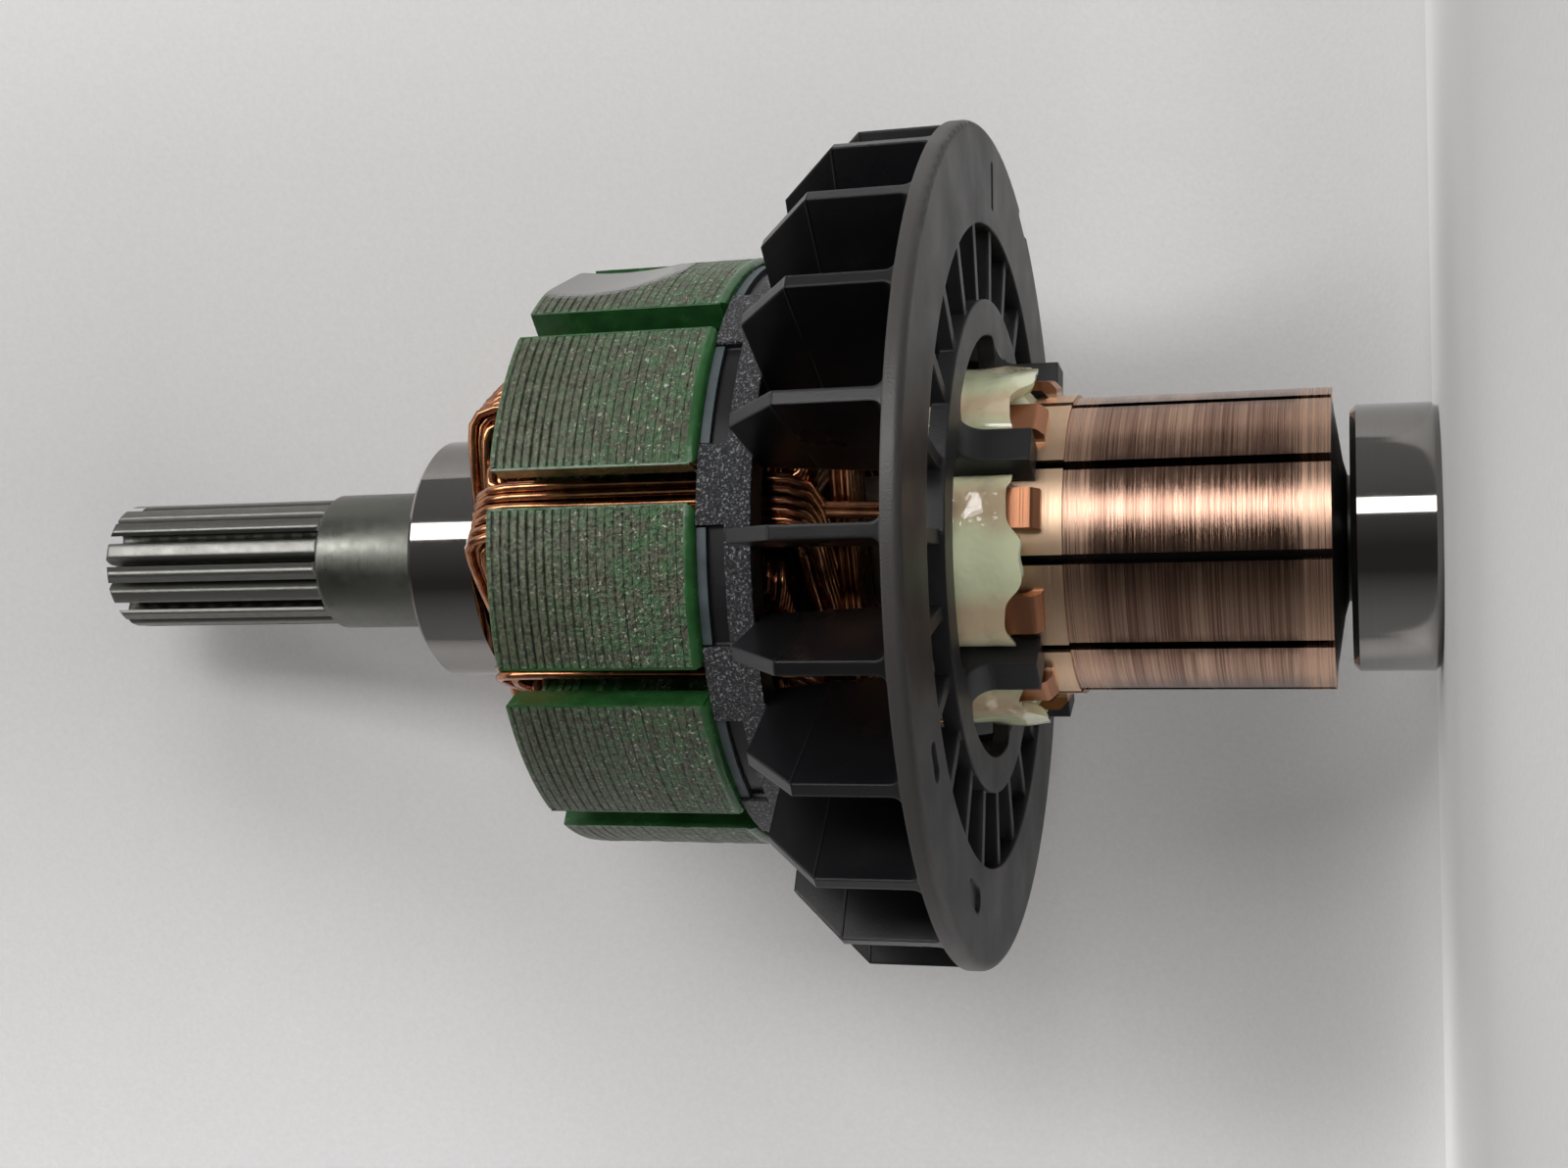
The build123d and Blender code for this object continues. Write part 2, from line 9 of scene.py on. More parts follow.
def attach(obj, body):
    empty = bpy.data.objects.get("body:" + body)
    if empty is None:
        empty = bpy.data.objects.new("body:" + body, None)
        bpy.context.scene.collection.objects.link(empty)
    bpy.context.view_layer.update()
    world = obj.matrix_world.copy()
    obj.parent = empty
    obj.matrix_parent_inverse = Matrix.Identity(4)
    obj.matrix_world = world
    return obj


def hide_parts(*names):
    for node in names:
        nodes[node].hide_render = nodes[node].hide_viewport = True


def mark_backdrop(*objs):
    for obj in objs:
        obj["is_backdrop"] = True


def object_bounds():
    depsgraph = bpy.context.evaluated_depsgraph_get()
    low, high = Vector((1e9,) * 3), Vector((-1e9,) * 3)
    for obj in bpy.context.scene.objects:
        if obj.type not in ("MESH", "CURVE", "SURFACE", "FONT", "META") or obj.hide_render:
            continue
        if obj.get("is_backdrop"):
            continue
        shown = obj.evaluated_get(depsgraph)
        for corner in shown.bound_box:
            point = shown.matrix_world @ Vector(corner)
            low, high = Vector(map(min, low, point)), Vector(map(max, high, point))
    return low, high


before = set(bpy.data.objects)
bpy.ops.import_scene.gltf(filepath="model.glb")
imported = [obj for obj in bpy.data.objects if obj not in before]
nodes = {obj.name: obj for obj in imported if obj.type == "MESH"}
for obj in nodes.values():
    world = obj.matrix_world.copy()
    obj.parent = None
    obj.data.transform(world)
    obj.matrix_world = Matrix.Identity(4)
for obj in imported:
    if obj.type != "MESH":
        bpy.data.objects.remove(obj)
frameLow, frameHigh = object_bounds()
mm = 0.001  # the frame is in metres, the sizes below are in millimetres

# small helpers for meshes


def polar(radius, angleDeg, height=0.0):
    # a point from its distance to the shaft's axis, its turn from +X and its height
    angle = math.radians(angleDeg)
    return Vector((radius * math.cos(angle), radius * math.sin(angle), height))


def linkObject(name, data):
    piece = bpy.data.objects.new(name, data)
    bpy.context.scene.collection.objects.link(piece)
    return piece


def meshPiece(name, points, faces):
    mesh = bpy.data.meshes.new(name)
    mesh.from_pydata([tuple(Vector(point) * mm) for point in points], [], faces)
    mesh.update()
    return linkObject(name, mesh)


def shadeByAngle(mesh, angleDeg):
    mesh.polygons.foreach_set("use_smooth", [True] * len(mesh.polygons))
    mesh.set_sharp_from_angle(angle=math.radians(angleDeg))


def turnFacesOut(mesh):
    work = bmesh.new()
    work.from_mesh(mesh)
    bmesh.ops.recalc_face_normals(work, faces=work.faces)
    work.to_mesh(mesh)
    work.free()


def bakeModifiers(piece):
    # the evaluated mesh becomes the piece's own plain mesh
    depsgraph = bpy.context.evaluated_depsgraph_get()
    baked = bpy.data.meshes.new_from_object(piece.evaluated_get(depsgraph))
    piece.modifiers.clear()
    old = piece.data
    piece.data = baked
    bpy.data.meshes.remove(old)


# small helpers for node trees


class Field:
    # a socket's value, written like a number: each sum or product of fields is a math node

    def __init__(self, socket):
        self.socket = socket
        self.tree = socket.id_data

    def __add__(self, other):
        return calc("ADD", self, other)

    def __sub__(self, other):
        return calc("SUBTRACT", self, other)

    def __rsub__(self, other):
        return calc("SUBTRACT", other, self)

    def __mul__(self, other):
        return calc("MULTIPLY", self, other)

    def __truediv__(self, other):
        return calc("DIVIDE", self, other)

    def __abs__(self):
        return calc("ABSOLUTE", self)

    def __round__(self):
        return calc("ROUND", self)


def plug(socket, value):
    if isinstance(value, Field):
        socket.id_data.links.new(value.socket, socket)
    elif value is not None:
        socket.default_value = value


def addNode(tree, kind, inputs=None, **settings):
    node = tree.nodes.new(kind)
    for key, value in settings.items():
        setattr(node, key, value)
    for key, value in (inputs or {}).items():
        plug(node.inputs[key], value)
    return node


def addField(tree, kind, output, inputs=None, **settings):
    return Field(addNode(tree, kind, inputs, **settings).outputs[output])


def fieldsOf(node):
    return {socket.name: Field(socket) for socket in node.outputs if socket.name}


def treeOf(*values):
    return next(value.tree for value in values if isinstance(value, Field))


def calc(operation, *values, clamp=False):
    inputs = dict(enumerate(values))
    return addField(treeOf(*values), "ShaderNodeMath", 0, inputs, operation=operation, use_clamp=clamp)


def vectorCalc(operation, *values):
    inputs = dict(enumerate(values))
    if operation == "SCALE":
        inputs["Scale"] = inputs.pop(1)
    output = "Value" if operation in ("LENGTH", "DOT_PRODUCT") else "Vector"
    return addField(treeOf(*values), "ShaderNodeVectorMath", output, inputs, operation=operation)


def splitPoint(point):
    return fieldsOf(addNode(point.tree, "ShaderNodeSeparateXYZ", {"Vector": point})).values()


def joinPoint(x=0.0, y=0.0, z=0.0):
    return addField(treeOf(x, y, z), "ShaderNodeCombineXYZ", "Vector", {"X": x, "Y": y, "Z": z})


def ramp(value, low, high, outLow=0.0, outHigh=1.0):
    # a straight ramp between two values, held at its ends
    inputs = {"Value": value, "From Min": low, "From Max": high, "To Min": outLow, "To Max": outHigh}
    return addField(value.tree, "ShaderNodeMapRange", "Result", inputs, clamp=True)


def offNearest(value, first, pitch):
    # how far a value is from the nearest of an even row, as a share of the row's pitch
    steps = (value - first) / pitch
    return abs(steps - round(steps))


def mixColor(factor, first, second, blend="MIX"):
    tree = treeOf(factor, first, second)
    node = addNode(tree, "ShaderNodeMix", data_type="RGBA", blend_type=blend, clamp_factor=True)
    for key, value in (("Factor_Float", factor), ("A_Color", first), ("B_Color", second)):
        socket = next(s for s in node.inputs if s.identifier == key)
        plug(socket, (*value, 1.0) if isinstance(value, tuple) else value)
    return Field(next(s for s in node.outputs if s.identifier == "Result_Color"))


def noiseAt(point, perMm, detail=3.0, roughness=0.5):
    inputs = {"Vector": point, "Scale": perMm, "Detail": detail, "Roughness": roughness}
    return addField(point.tree, "ShaderNodeTexNoise", "Fac", inputs)


def roundedNormal(tree, radius, samples):
    return addField(tree, "ShaderNodeBevel", "Normal", {"Radius": radius}, samples=samples)


def bumpedNormal(height, distanceMm, normal=None, strength=1.0):
    inputs = {"Strength": strength, "Distance": distanceMm * mm, "Height": height, "Normal": normal}
    return addField(height.tree, "ShaderNodeBump", "Normal", inputs)


def newTree(name, kind, inputs, outputs):
    # inputs and outputs say which type of socket each name has
    tree = bpy.data.node_groups.new(name, kind)
    for side, sockets in (("INPUT", inputs), ("OUTPUT", outputs)):
        for title, socketType in sockets.items():
            tree.interface.new_socket(name=title, in_out=side, socket_type="NodeSocket" + socketType)
    into = fieldsOf(tree.nodes.new("NodeGroupInput"))
    return tree, into, tree.nodes.new("NodeGroupOutput").inputs


def useGroup(tree, group, inputs=None):
    return fieldsOf(addNode(tree, "ShaderNodeGroup", inputs, node_tree=group))


def newMaterial(name, **constants):
    material = bpy.data.materials.new(name)
    material.use_nodes = True
    tree = material.node_tree
    shader = next(n for n in tree.nodes if n.type == "BSDF_PRINCIPLED")
    for key, value in constants.items():
        shader.inputs[key.replace("_", " ")].default_value = value
    return material, tree, shader.inputs


# camera, at the photo's viewing angle
cameraSetup = {
    "back": 125.11,
    "height": 3.80,
    "pan": 16.419,
    "tilt": -0.933,
    "roll": 1.344,
    "focalPixels": 2042.18,
    "imageWidth": 1600,
    "sensor": 36.0,
    "nearest": 2.0,
}


def makeCamera(setup):
    # the shaft runs level across the picture, so +X is up in it
    look, right, up = Vector((0, 1, 0)), Vector((0, 0, -1)), Vector((1, 0, 0))
    turn = Matrix.Rotation(math.radians(setup["pan"]), 3, up)
    look, right = turn @ look, turn @ right
    turn = Matrix.Rotation(math.radians(setup["tilt"]), 3, right)
    look, up = turn @ look, turn @ up
    turn = Matrix.Rotation(math.radians(setup["roll"]), 3, look)
    right, up = turn @ right, turn @ up
    data = bpy.data.cameras.new("photoCamera")
    data.sensor_width = setup["sensor"]
    data.lens = setup["focalPixels"] / setup["imageWidth"] * setup["sensor"]
    data.clip_start = setup["nearest"] * mm
    camera = linkObject("photoCamera", data)
    matrix = Matrix((right, up, -look)).transposed().to_4x4()
    matrix.translation = Vector((0, -setup["back"], setup["height"])) * mm
    camera.matrix_world = matrix
    bpy.context.scene.camera = camera


makeCamera(cameraSetup)

# shader groups that several materials share


def makeAxisGroup():
    outputs = {"Radius": "Float", "Turn": "Float", "Height": "Float", "Point": "Vector"}
    tree, _, out = newTree("axisPlace", "ShaderNodeTree", {}, outputs)
    point = vectorCalc("SCALE", addField(tree, "ShaderNodeTexCoord", "Object"), 1 / mm)
    x, y, z = splitPoint(point)
    plug(out["Radius"], vectorCalc("LENGTH", joinPoint(x, y)))
    plug(out["Turn"], calc("DEGREES", calc("ARCTAN2", y, x)))
    plug(out["Height"], z)
    plug(out["Point"], point)
    return tree


def makeRingMarksGroup():
    inputs = {"Point": "Vector", "Marks Per mm": "Float", "Wander": "Float", "Contrast": "Float"}
    tree, into, out = newTree("ringMarks", "ShaderNodeTree", inputs, {"Marks": "Float"})
    x, y, z = splitPoint(into["Point"])
    stretched = joinPoint(x * into["Wander"], y * into["Wander"], z * into["Marks Per mm"])
    spread = (noiseAt(stretched, 1.0, 4.0, 0.6) - 0.5) * into["Contrast"]
    plug(out["Marks"], calc("ADD", spread, 0.5, clamp=True))
    return tree


def makeSpeckleGroup():
    inputs = {"Point": "Vector", "Per mm": "Float", "Cover": "Float", "Softness": "Float"}
    tree, into, out = newTree("speckle", "ShaderNodeTree", inputs, {"Mask": "Float"})
    edge = ramp(into["Cover"], 0.0, 1.0, 0.72, 0.28)
    plug(out["Mask"], ramp(noiseAt(into["Point"], into["Per mm"], 4.0), edge, edge + into["Softness"]))
    return tree


def makeEdgeGroup():
    inputs = {"Width mm": "Float", "Gain": "Float"}
    tree, into, out = newTree("edgeLine", "ShaderNodeTree", inputs, {"Mask": "Float"})
    flat = addField(tree, "ShaderNodeNewGeometry", "Normal")
    same = vectorCalc("DOT_PRODUCT", roundedNormal(tree, into["Width mm"] * mm, 4), flat)
    plug(out["Mask"], calc("MULTIPLY", 1.0 - same, into["Gain"], clamp=True))
    return tree


axisPlace = makeAxisGroup()
ringMarks = makeRingMarksGroup()
speckle = makeSpeckleGroup()
edgeLine = makeEdgeGroup()


def placeOn(tree):
    # distance from the shaft's axis, turn round it in degrees, height and the point itself, in millimetres
    return useGroup(tree, axisPlace).values()


def marksAt(point, perMm, wander, contrast):
    # fine marks that run round the axis, as a lathe, a brush or a grinding wheel leaves them
    inputs = {"Point": point, "Marks Per mm": perMm, "Wander": wander, "Contrast": contrast}
    return useGroup(point.tree, ringMarks, inputs)["Marks"]


def specklesAt(point, perMm, cover, softness):
    # scattered patches with a chosen cover and softness
    inputs = {"Point": point, "Per mm": perMm, "Cover": cover, "Softness": softness}
    return useGroup(point.tree, speckle, inputs)["Mask"]


def edgeWear(tree, widthMm, gain):
    # a mask along sharp edges, from how far a rounded normal leaves the flat one
    return useGroup(tree, edgeLine, {"Width mm": widthMm, "Gain": gain})["Mask"]


# places that materials and pieces share
barPlaces = {"count": 10, "firstTurn": -77.4, "pitch": 36.0}
coreSetup = {
    "radius": 18.9,
    "bore": 3.5,
    "low": 40.3,
    "high": 53.1,
    "slots": 10,
    "slotTurn": -77.9,
    "slotFloor": 8.6,
    "slotRound": 0.5,
    "opening": 2.5,  # the slot's mouth
    "toothWidth": 4.0,
    "toothTip": 1.7,  # how thick the tooth's tip is beside the mouth
    "toothSteps": 18,
    "boreSteps": 32,
    "sheets": 22,
    "sheetEdge": 0.035,
    "turnJitter": 0.16,  # in degrees
    "sizeJitter": 0.0016,
    "jitterSeed": 3,
    "coatWall": 0.12,
    "coatProud": 0.02,
    "coatLevels": 16,
    "fanPlate": {"thick": 0.95, "round": 0.42, "grow": 0.04, "turn": 0.0},
    "drivePlate": {"thick": 0.62, "round": 0.16, "grow": -0.03, "turn": 0.25},
    "cutTurn": -18.0,
    "cutDepth": 0.55,
    "cutFromEnd": 2.9,
    "cutterRadius": 25.0,
}

# materials

copperBarLook = {
    "copper": (0.76, 0.515, 0.36),
    "fresh": (0.60, 0.38, 0.27),
    "worn": (0.42, 0.27, 0.20),
    "dark": (0.18, 0.10, 0.072),
    "riser": (0.82, 0.60, 0.40),
    "hook": (0.44, 0.20, 0.11),
    "soot": (0.05, 0.04, 0.035),
    "track": (7.6, 19.9),  # the heights between which the brushes run
    "riserFrom": 21.1,
    "undercut": (9.25, 8.7),
    "hookRadius": 9.45,
    "halfBar": 17.2,
}


def makeCopperBar(look, bars):
    material, tree, sockets = newMaterial("copperBar", Metallic=1.0)
    radius, turn, height, point = placeOn(tree)
    fine = marksAt(point, 11.0, 0.05, 2.4)
    broad = marksAt(point, 2.2, 0.05, 2.6)
    patchy = marksAt(point, 0.6, 0.03, 2.2)
    low, high = look["track"]
    onTrack = ramp(height, low, low + 0.5) * ramp(height, high, high - 1.1)
    color = mixColor(ramp(fine * 0.7 + broad * 0.35, 0.30, 0.78), look["dark"], look["worn"])
    color = mixColor(ramp(patchy, 0.55, 0.85, 0.0, 0.35), color, look["copper"])
    ends = mixColor(ramp(fine, 0.3, 0.7), look["worn"], look["fresh"])
    color = mixColor(onTrack, ends, color)
    # bars are darkest beside the gaps between them
    offBar = offNearest(turn, bars["firstTurn"], bars["pitch"]) * bars["pitch"]
    besideGap = ramp(offBar, look["halfBar"] - 5.0, look["halfBar"] - 0.3, 0.0, 0.7) * onTrack
    color = mixColor(besideGap * ramp(broad, 0.1, 0.6), color, look["soot"])
    # the riser is plain copper, with soot low down beside it and a redder hook
    onRiser = ramp(height, look["riserFrom"] - 0.02, look["riserFrom"] + 0.02)
    onHook = onRiser * ramp(radius, look["hookRadius"], look["hookRadius"] + 0.15)
    riser = mixColor(noiseAt(point, 1.4), look["riser"], look["copper"])
    riser = mixColor(ramp(radius, *look["undercut"]), riser, look["soot"])
    riser = mixColor(onHook, riser, look["hook"])
    plug(sockets["Base Color"], mixColor(onRiser, color, riser))
    rough = ramp(fine, 0.2, 0.8, 0.12, 0.25) + ramp(onTrack, 1.0, 0.0, 0.0, 0.12)
    plug(sockets["Roughness"], rough + onRiser * 0.10)
    plug(sockets["Normal"], bumpedNormal(fine * ramp(onRiser, 0.0, 1.0, 1.0, 0.25), 0.008))
    return material


wireLook = {"enamel": (0.56, 0.255, 0.115), "shade": (0.28, 0.105, 0.052), "gloss": 0.35, "glossRough": 0.12}


def makeWire(look):
    gloss = {"Coat_Weight": look["gloss"], "Coat_Roughness": look["glossRough"]}
    material, tree, sockets = newMaterial("enamelledWire", Metallic=1.0, **gloss)
    _, _, _, point = placeOn(tree)
    patches = ramp(noiseAt(point, 0.9), 0.35, 0.65)
    plug(sockets["Base Color"], mixColor(patches, look["shade"], look["enamel"]))
    plug(sockets["Roughness"], ramp(noiseAt(point, 2.0), 0.3, 0.7, 0.16, 0.28))
    return material


fanLook = {
    "black": (0.0055, 0.0057, 0.0068),
    "dusty": (0.012, 0.0125, 0.014),
    "worn": (0.020, 0.0205, 0.022),
    "block": (0.045, 0.047, 0.053),
    # pale specks painted on the seat's blocks as glints
    "paintedSpark": (0.30, 0.31, 0.33),
    # a painted sheen for the rim's outer band
    "paintedRimSheen": (0.046, 0.042, 0.040),
    "rimRadius": 26.4,
    "edgeRound": 0.22,
    "seatFrom": 37.0,
    "blockRadius": 18.45,
    "plateTo": 27.8,
    "mouldLine": 33.8,
}


def makeFanPlastic(look):
    material, tree, sockets = newMaterial("fanPlastic", Specular_IOR_Level=0.5)
    radius, _, height, point = placeOn(tree)
    onSeat = ramp(height, look["seatFrom"], look["seatFrom"] + 0.1)
    onBlock = onSeat * ramp(radius, look["blockRadius"], look["blockRadius"] + 0.1)
    onPlate = ramp(height, look["plateTo"] + 0.1, look["plateTo"])
    onRim = onPlate * ramp(radius, look["rimRadius"] - 0.7, look["rimRadius"] - 0.1)
    cloud = noiseAt(point, 0.22)
    pits = noiseAt(point, 6.5, 3.0, 0.7)
    dust = specklesAt(point, 1.4, 0.34, 0.25) * ramp(cloud, 0.35, 0.65)
    color = mixColor(dust, look["black"], look["dusty"])
    color = mixColor(onPlate, color, mixColor(cloud, look["dusty"], look["worn"]))
    # the rim's outer band is painted lighter, a painted sheen where the lamp reflects
    color = mixColor(onRim, color, look["paintedRimSheen"])
    # the seat's blocks keep the mould's coarse grain, and the pale specks on it are painted glints
    grainAndPaintedGlints = mixColor(ramp(pits, 0.45, 0.6), look["black"], look["block"])
    grainAndPaintedGlints = mixColor(ramp(pits, 0.57, 0.65), grainAndPaintedGlints, look["paintedSpark"])
    plug(sockets["Base Color"], mixColor(onBlock, color, grainAndPaintedGlints))
    plug(sockets["Roughness"], ramp(cloud, 0.3, 0.7, 0.26, 0.40) + onPlate * 0.12 + onBlock * 0.08)
    # a faint line left by the mould runs round the blades
    line = ramp(abs(height - look["mouldLine"]), 0.10, 0.03) * 0.5
    relief = noiseAt(point, 7.0, 2.0) * ramp(onPlate, 0.0, 1.0, 0.10, 0.26) + line + pits * onBlock * 2.4
    plug(sockets["Normal"], bumpedNormal(relief, 0.07, roundedNormal(tree, look["edgeRound"] * mm, 6)))
    return material


coreLook = {
    "sheet": (0.105, 0.108, 0.070),
    "shade": (0.034, 0.040, 0.024),
    "gap": (0.010, 0.014, 0.008),
    "green": (0.054, 0.132, 0.048),
    "greenDark": (0.018, 0.058, 0.020),
    # pale specks painted as glints
    "paintedGlint": (0.50, 0.52, 0.42),
    "bare": (0.24, 0.235, 0.23),
    "sheetsFrom": 40.83,
    "sheetPitch": 0.5368,
    "slotHalf": 1.26,
    "fanHalf": (50.2, 43.6),
    "cutHalfWidth": 4.8,
}


def makeCoreMaterial(look, core):
    material, tree, sockets = newMaterial("coatedLaminations", Specular_IOR_Level=0.6)
    radius, turn, height, point = placeOn(tree)
    # the coat is whole beside the slots and the ends, with a ragged edge
    pitch = 360 / core["slots"]
    pitchLength = math.radians(pitch) * core["radius"]
    fromSlot = offNearest(turn, core["slotTurn"], pitch) * pitchLength - look["slotHalf"]
    fromEnd = calc("MINIMUM", height - core["low"], core["high"] - height)
    ragged = (noiseAt(point, 1.5, 4.0) - 0.5) * 1.3
    edgeCoat = ramp(calc("MINIMUM", fromSlot, fromEnd) + ragged, 0.60, 0.05, 0.0, 0.75)
    # it is thin and gritty on the fan's half, rubbed through to the sheets on the other
    fanHalf = ramp(height + ragged * 2.2, *look["fanHalf"])
    film = specklesAt(point, 1.3, 0.74, 0.2) * ramp(fanHalf, 0.0, 1.0, 0.30, 0.92)
    inSlot = ramp(radius, core["radius"] - 0.12, core["radius"] - 0.18)
    coat = calc("MAXIMUM", calc("MAXIMUM", edgeCoat, film), inSlot)
    # seams between the sheets show where the coat is gone
    offSheet = offNearest(height, look["sheetsFrom"], look["sheetPitch"])
    seam = ramp(offSheet, 0.24, 0.04) * ramp(fanHalf, 0.0, 1.0, 0.95, 0.12)
    seam = seam * ramp(noiseAt(point, 1.1), 0.30, 0.62, 0.35, 1.0)
    grain = noiseAt(point, 3.4, 3.0, 0.6)
    coarse = ramp(grain, 0.36, 0.60)
    sheetColor = mixColor(coarse, look["shade"], look["sheet"])
    color = mixColor(coat, sheetColor, mixColor(coarse, look["greenDark"], look["green"]))
    # painted glints: pale specks in the colour, strongest on the fan's half
    glint = specklesAt(point, 4.6, 0.26, 0.06) * ramp(fanHalf, 0.0, 1.0, 0.25, 0.8)
    color = mixColor(seam, mixColor(glint, color, look["paintedGlint"]), look["gap"])
    # the balance cut is bare ground steel
    outwards = vectorCalc("DOT_PRODUCT", point, tuple(polar(1, core["cutTurn"])))
    sideways = abs(vectorCalc("DOT_PRODUCT", point, tuple(polar(1, core["cutTurn"] + 90))))
    along = height - (core["high"] - core["cutFromEnd"])
    aboveDish = outwards - (core["radius"] - core["cutDepth"]) - along * along * (0.5 / core["cutterRadius"])
    nearCut = ramp(sideways, look["cutHalfWidth"] + 0.05, look["cutHalfWidth"] - 0.05)
    ground = nearCut * ramp(aboveDish, -0.10, -0.03)
    plug(sockets["Base Color"], mixColor(ground, color, look["bare"]))
    plug(sockets["Metallic"], calc("MAXIMUM", ground, (1.0 - coat) * 0.25))
    plug(sockets["Roughness"], ramp(coat, 0.0, 1.0, 0.46, 0.36) - ground * 0.22)
    bumps = grain * ramp(fanHalf, 0.0, 1.0, 1.0, 2.6) + glint * 0.3 - seam * 0.8
    plug(sockets["Normal"], bumpedNormal(bumps * (1.0 - ground), 0.11))
    return material


pinionLook = {
    "oxide": (0.150, 0.153, 0.137),
    "bright": (0.22, 0.22, 0.21),
    # the colour of the painted shade on the teeth's flanks
    "deep": (0.050, 0.051, 0.046),
    "teethFrom": 72.4,
    "rootRadius": 3.1,
    "flankShade": (2.7, 3.0, 3.7, 4.2),  # the radii between which a flank darkens and clears again
    "crest": (4.15, 4.25),
    "crestRound": 0.34,
    "feed": 1.5,
}


def makePinionSteel(look):
    material, tree, sockets = newMaterial("pinionSteel", Metallic=1.0)
    radius, _, height, point = placeOn(tree)
    teethFrom, root = look["teethFrom"], look["rootRadius"]
    onTeeth = ramp(height, teethFrom - 0.05, teethFrom + 0.05)
    rootLow, rootHigh, tipLow, tipHigh = look["flankShade"]
    flankShade = onTeeth * (ramp(radius, tipHigh, tipLow) * ramp(radius, rootLow, rootHigh))
    # crests and sharp edges are rubbed bright
    crest = onTeeth * ramp(radius, *look["crest"], 0.0, 0.55)
    shine = calc("MAXIMUM", edgeWear(tree, 0.12, 5.0) * 0.6, crest)
    # painted shade darkens the flanks between the roots and the crests
    body = mixColor(flankShade, look["oxide"], look["deep"])
    plug(sockets["Base Color"], mixColor(shine, body, look["bright"]))
    rough = ramp(noiseAt(point, 1.3, 4.0), 0.3, 0.7, 0.24, 0.36)
    rough = rough + ramp(height, teethFrom, teethFrom - 7.0, 0.0, 0.16) + onTeeth * 0.12
    plug(sockets["Roughness"], rough - shine * 0.06)
    # the cutter leaves a scallop in the roots at each step of its feed
    feed = ramp(calc("PINGPONG", height - teethFrom, look["feed"] / 2), 0.0, look["feed"] / 2)
    inRoot = onTeeth * ramp(radius, root + 0.3, root)
    relief = marksAt(point, 5.0, 0.08, 2.0) * 0.2 + feed * (inRoot * 1.5)
    plug(sockets["Normal"], bumpedNormal(relief, 0.05, roundedNormal(tree, look["crestRound"] * mm, 8)))
    return material


resinLook = {
    "cream": (0.82, 0.86, 0.58),
    "tan": (0.70, 0.52, 0.34),
    "amber": (0.30, 0.175, 0.085),
    "hookPitch": 7.0,
}


def makeResinMaterial(look, bars):
    material, tree, sockets = newMaterial(
        "curedResin",
        Roughness=0.07,
        Subsurface_Weight=0.30,
        Subsurface_Radius=(1.0, 0.8, 0.4),
        Subsurface_Scale=1.0 * mm,
        Coat_Weight=0.8,
        Coat_Roughness=0.03,
    )
    _, turn, _, point = placeOn(tree)
    offHook = offNearest(turn, bars["firstTurn"], bars["pitch"]) * look["hookPitch"]
    wavyOff = offHook + (noiseAt(point, 0.42) - 0.5) * 1.6
    # the hooks and leads show through the resin as tan bands
    color = mixColor(ramp(wavyOff, 2.0, 0.5, 0.0, 0.85), look["cream"], look["tan"])
    stain = ramp(noiseAt(point, 0.6), 0.54, 0.70, 0.0, 0.35) * ramp(wavyOff, 2.6, 0.6)
    plug(sockets["Base Color"], mixColor(stain, color, look["amber"]))
    plug(sockets["Normal"], bumpedNormal(noiseAt(point, 0.7, 2.0), 0.12))
    return material


def makeSteel(name, looks, marksPerMm, bumpMm):
    look = looks[name]
    material, tree, sockets = newMaterial(name, Metallic=1.0)
    _, _, _, point = placeOn(tree)
    marks = marksAt(point, marksPerMm, 0.04, 1.6)
    smear = noiseAt(point, 0.6)
    shade = ramp(marks, 0.3, 0.8) * ramp(smear, 0.35, 0.65, 0.1, 0.5)
    plug(sockets["Base Color"], mixColor(shade, look["color"], look["dark"]))
    plug(sockets["Roughness"], ramp(smear, 0.3, 0.7, *look["rough"]))
    plug(sockets["Normal"], bumpedNormal(marks, bumpMm))
    return material


def makePlain(name, looks):
    look = looks[name]
    material, tree, sockets = newMaterial(name, Metallic=0.0)
    _, _, _, point = placeOn(tree)
    cloud = noiseAt(point, 0.7)
    darker, lighter = (tuple(c * share for c in look["color"]) for share in (0.75, 1.25))
    plug(sockets["Base Color"], mixColor(ramp(cloud, 0.3, 0.7), darker, lighter))
    plug(sockets["Roughness"], ramp(cloud, 0.3, 0.7, look["rough"] - 0.05, look["rough"] + 0.05))
    plug(sockets["Normal"], bumpedNormal(noiseAt(point, look["grainPerMm"]), look["bumpMm"]))
    return material


copperBar = makeCopperBar(copperBarLook, barPlaces)
enamelledWire = makeWire(wireLook)
fanPlastic = makeFanPlastic(fanLook)
coatedLaminations = makeCoreMaterial(coreLook, coreSetup)
pinionSteel = makePinionSteel(pinionLook)
curedResin = makeResinMaterial(resinLook, barPlaces)
darkSteel = (0.25, 0.25, 0.26)
steelLooks = {
    "bearingSteel": {"color": (0.27, 0.26, 0.25), "dark": (0.23, 0.22, 0.21), "rough": (0.05, 0.08)},
    "shaftSteel": {"color": (0.60, 0.60, 0.60), "dark": darkSteel, "rough": (0.18, 0.28)},
    "shieldSteel": {"color": (0.50, 0.49, 0.47), "dark": darkSteel, "rough": (0.28, 0.38)},
    "ballSteel": {"color": (0.75, 0.75, 0.76), "dark": darkSteel, "rough": (0.04, 0.06)},
}
bearingSteel = makeSteel("bearingSteel", steelLooks, marksPerMm=9.0, bumpMm=0.0002)
shaftSteel = makeSteel("shaftSteel", steelLooks, marksPerMm=6.0, bumpMm=0.004)
shieldSteel = makeSteel("shieldSteel", steelLooks, marksPerMm=3.0, bumpMm=0.004)
ballSteel = makeSteel("ballSteel", steelLooks, marksPerMm=3.0, bumpMm=0.0)
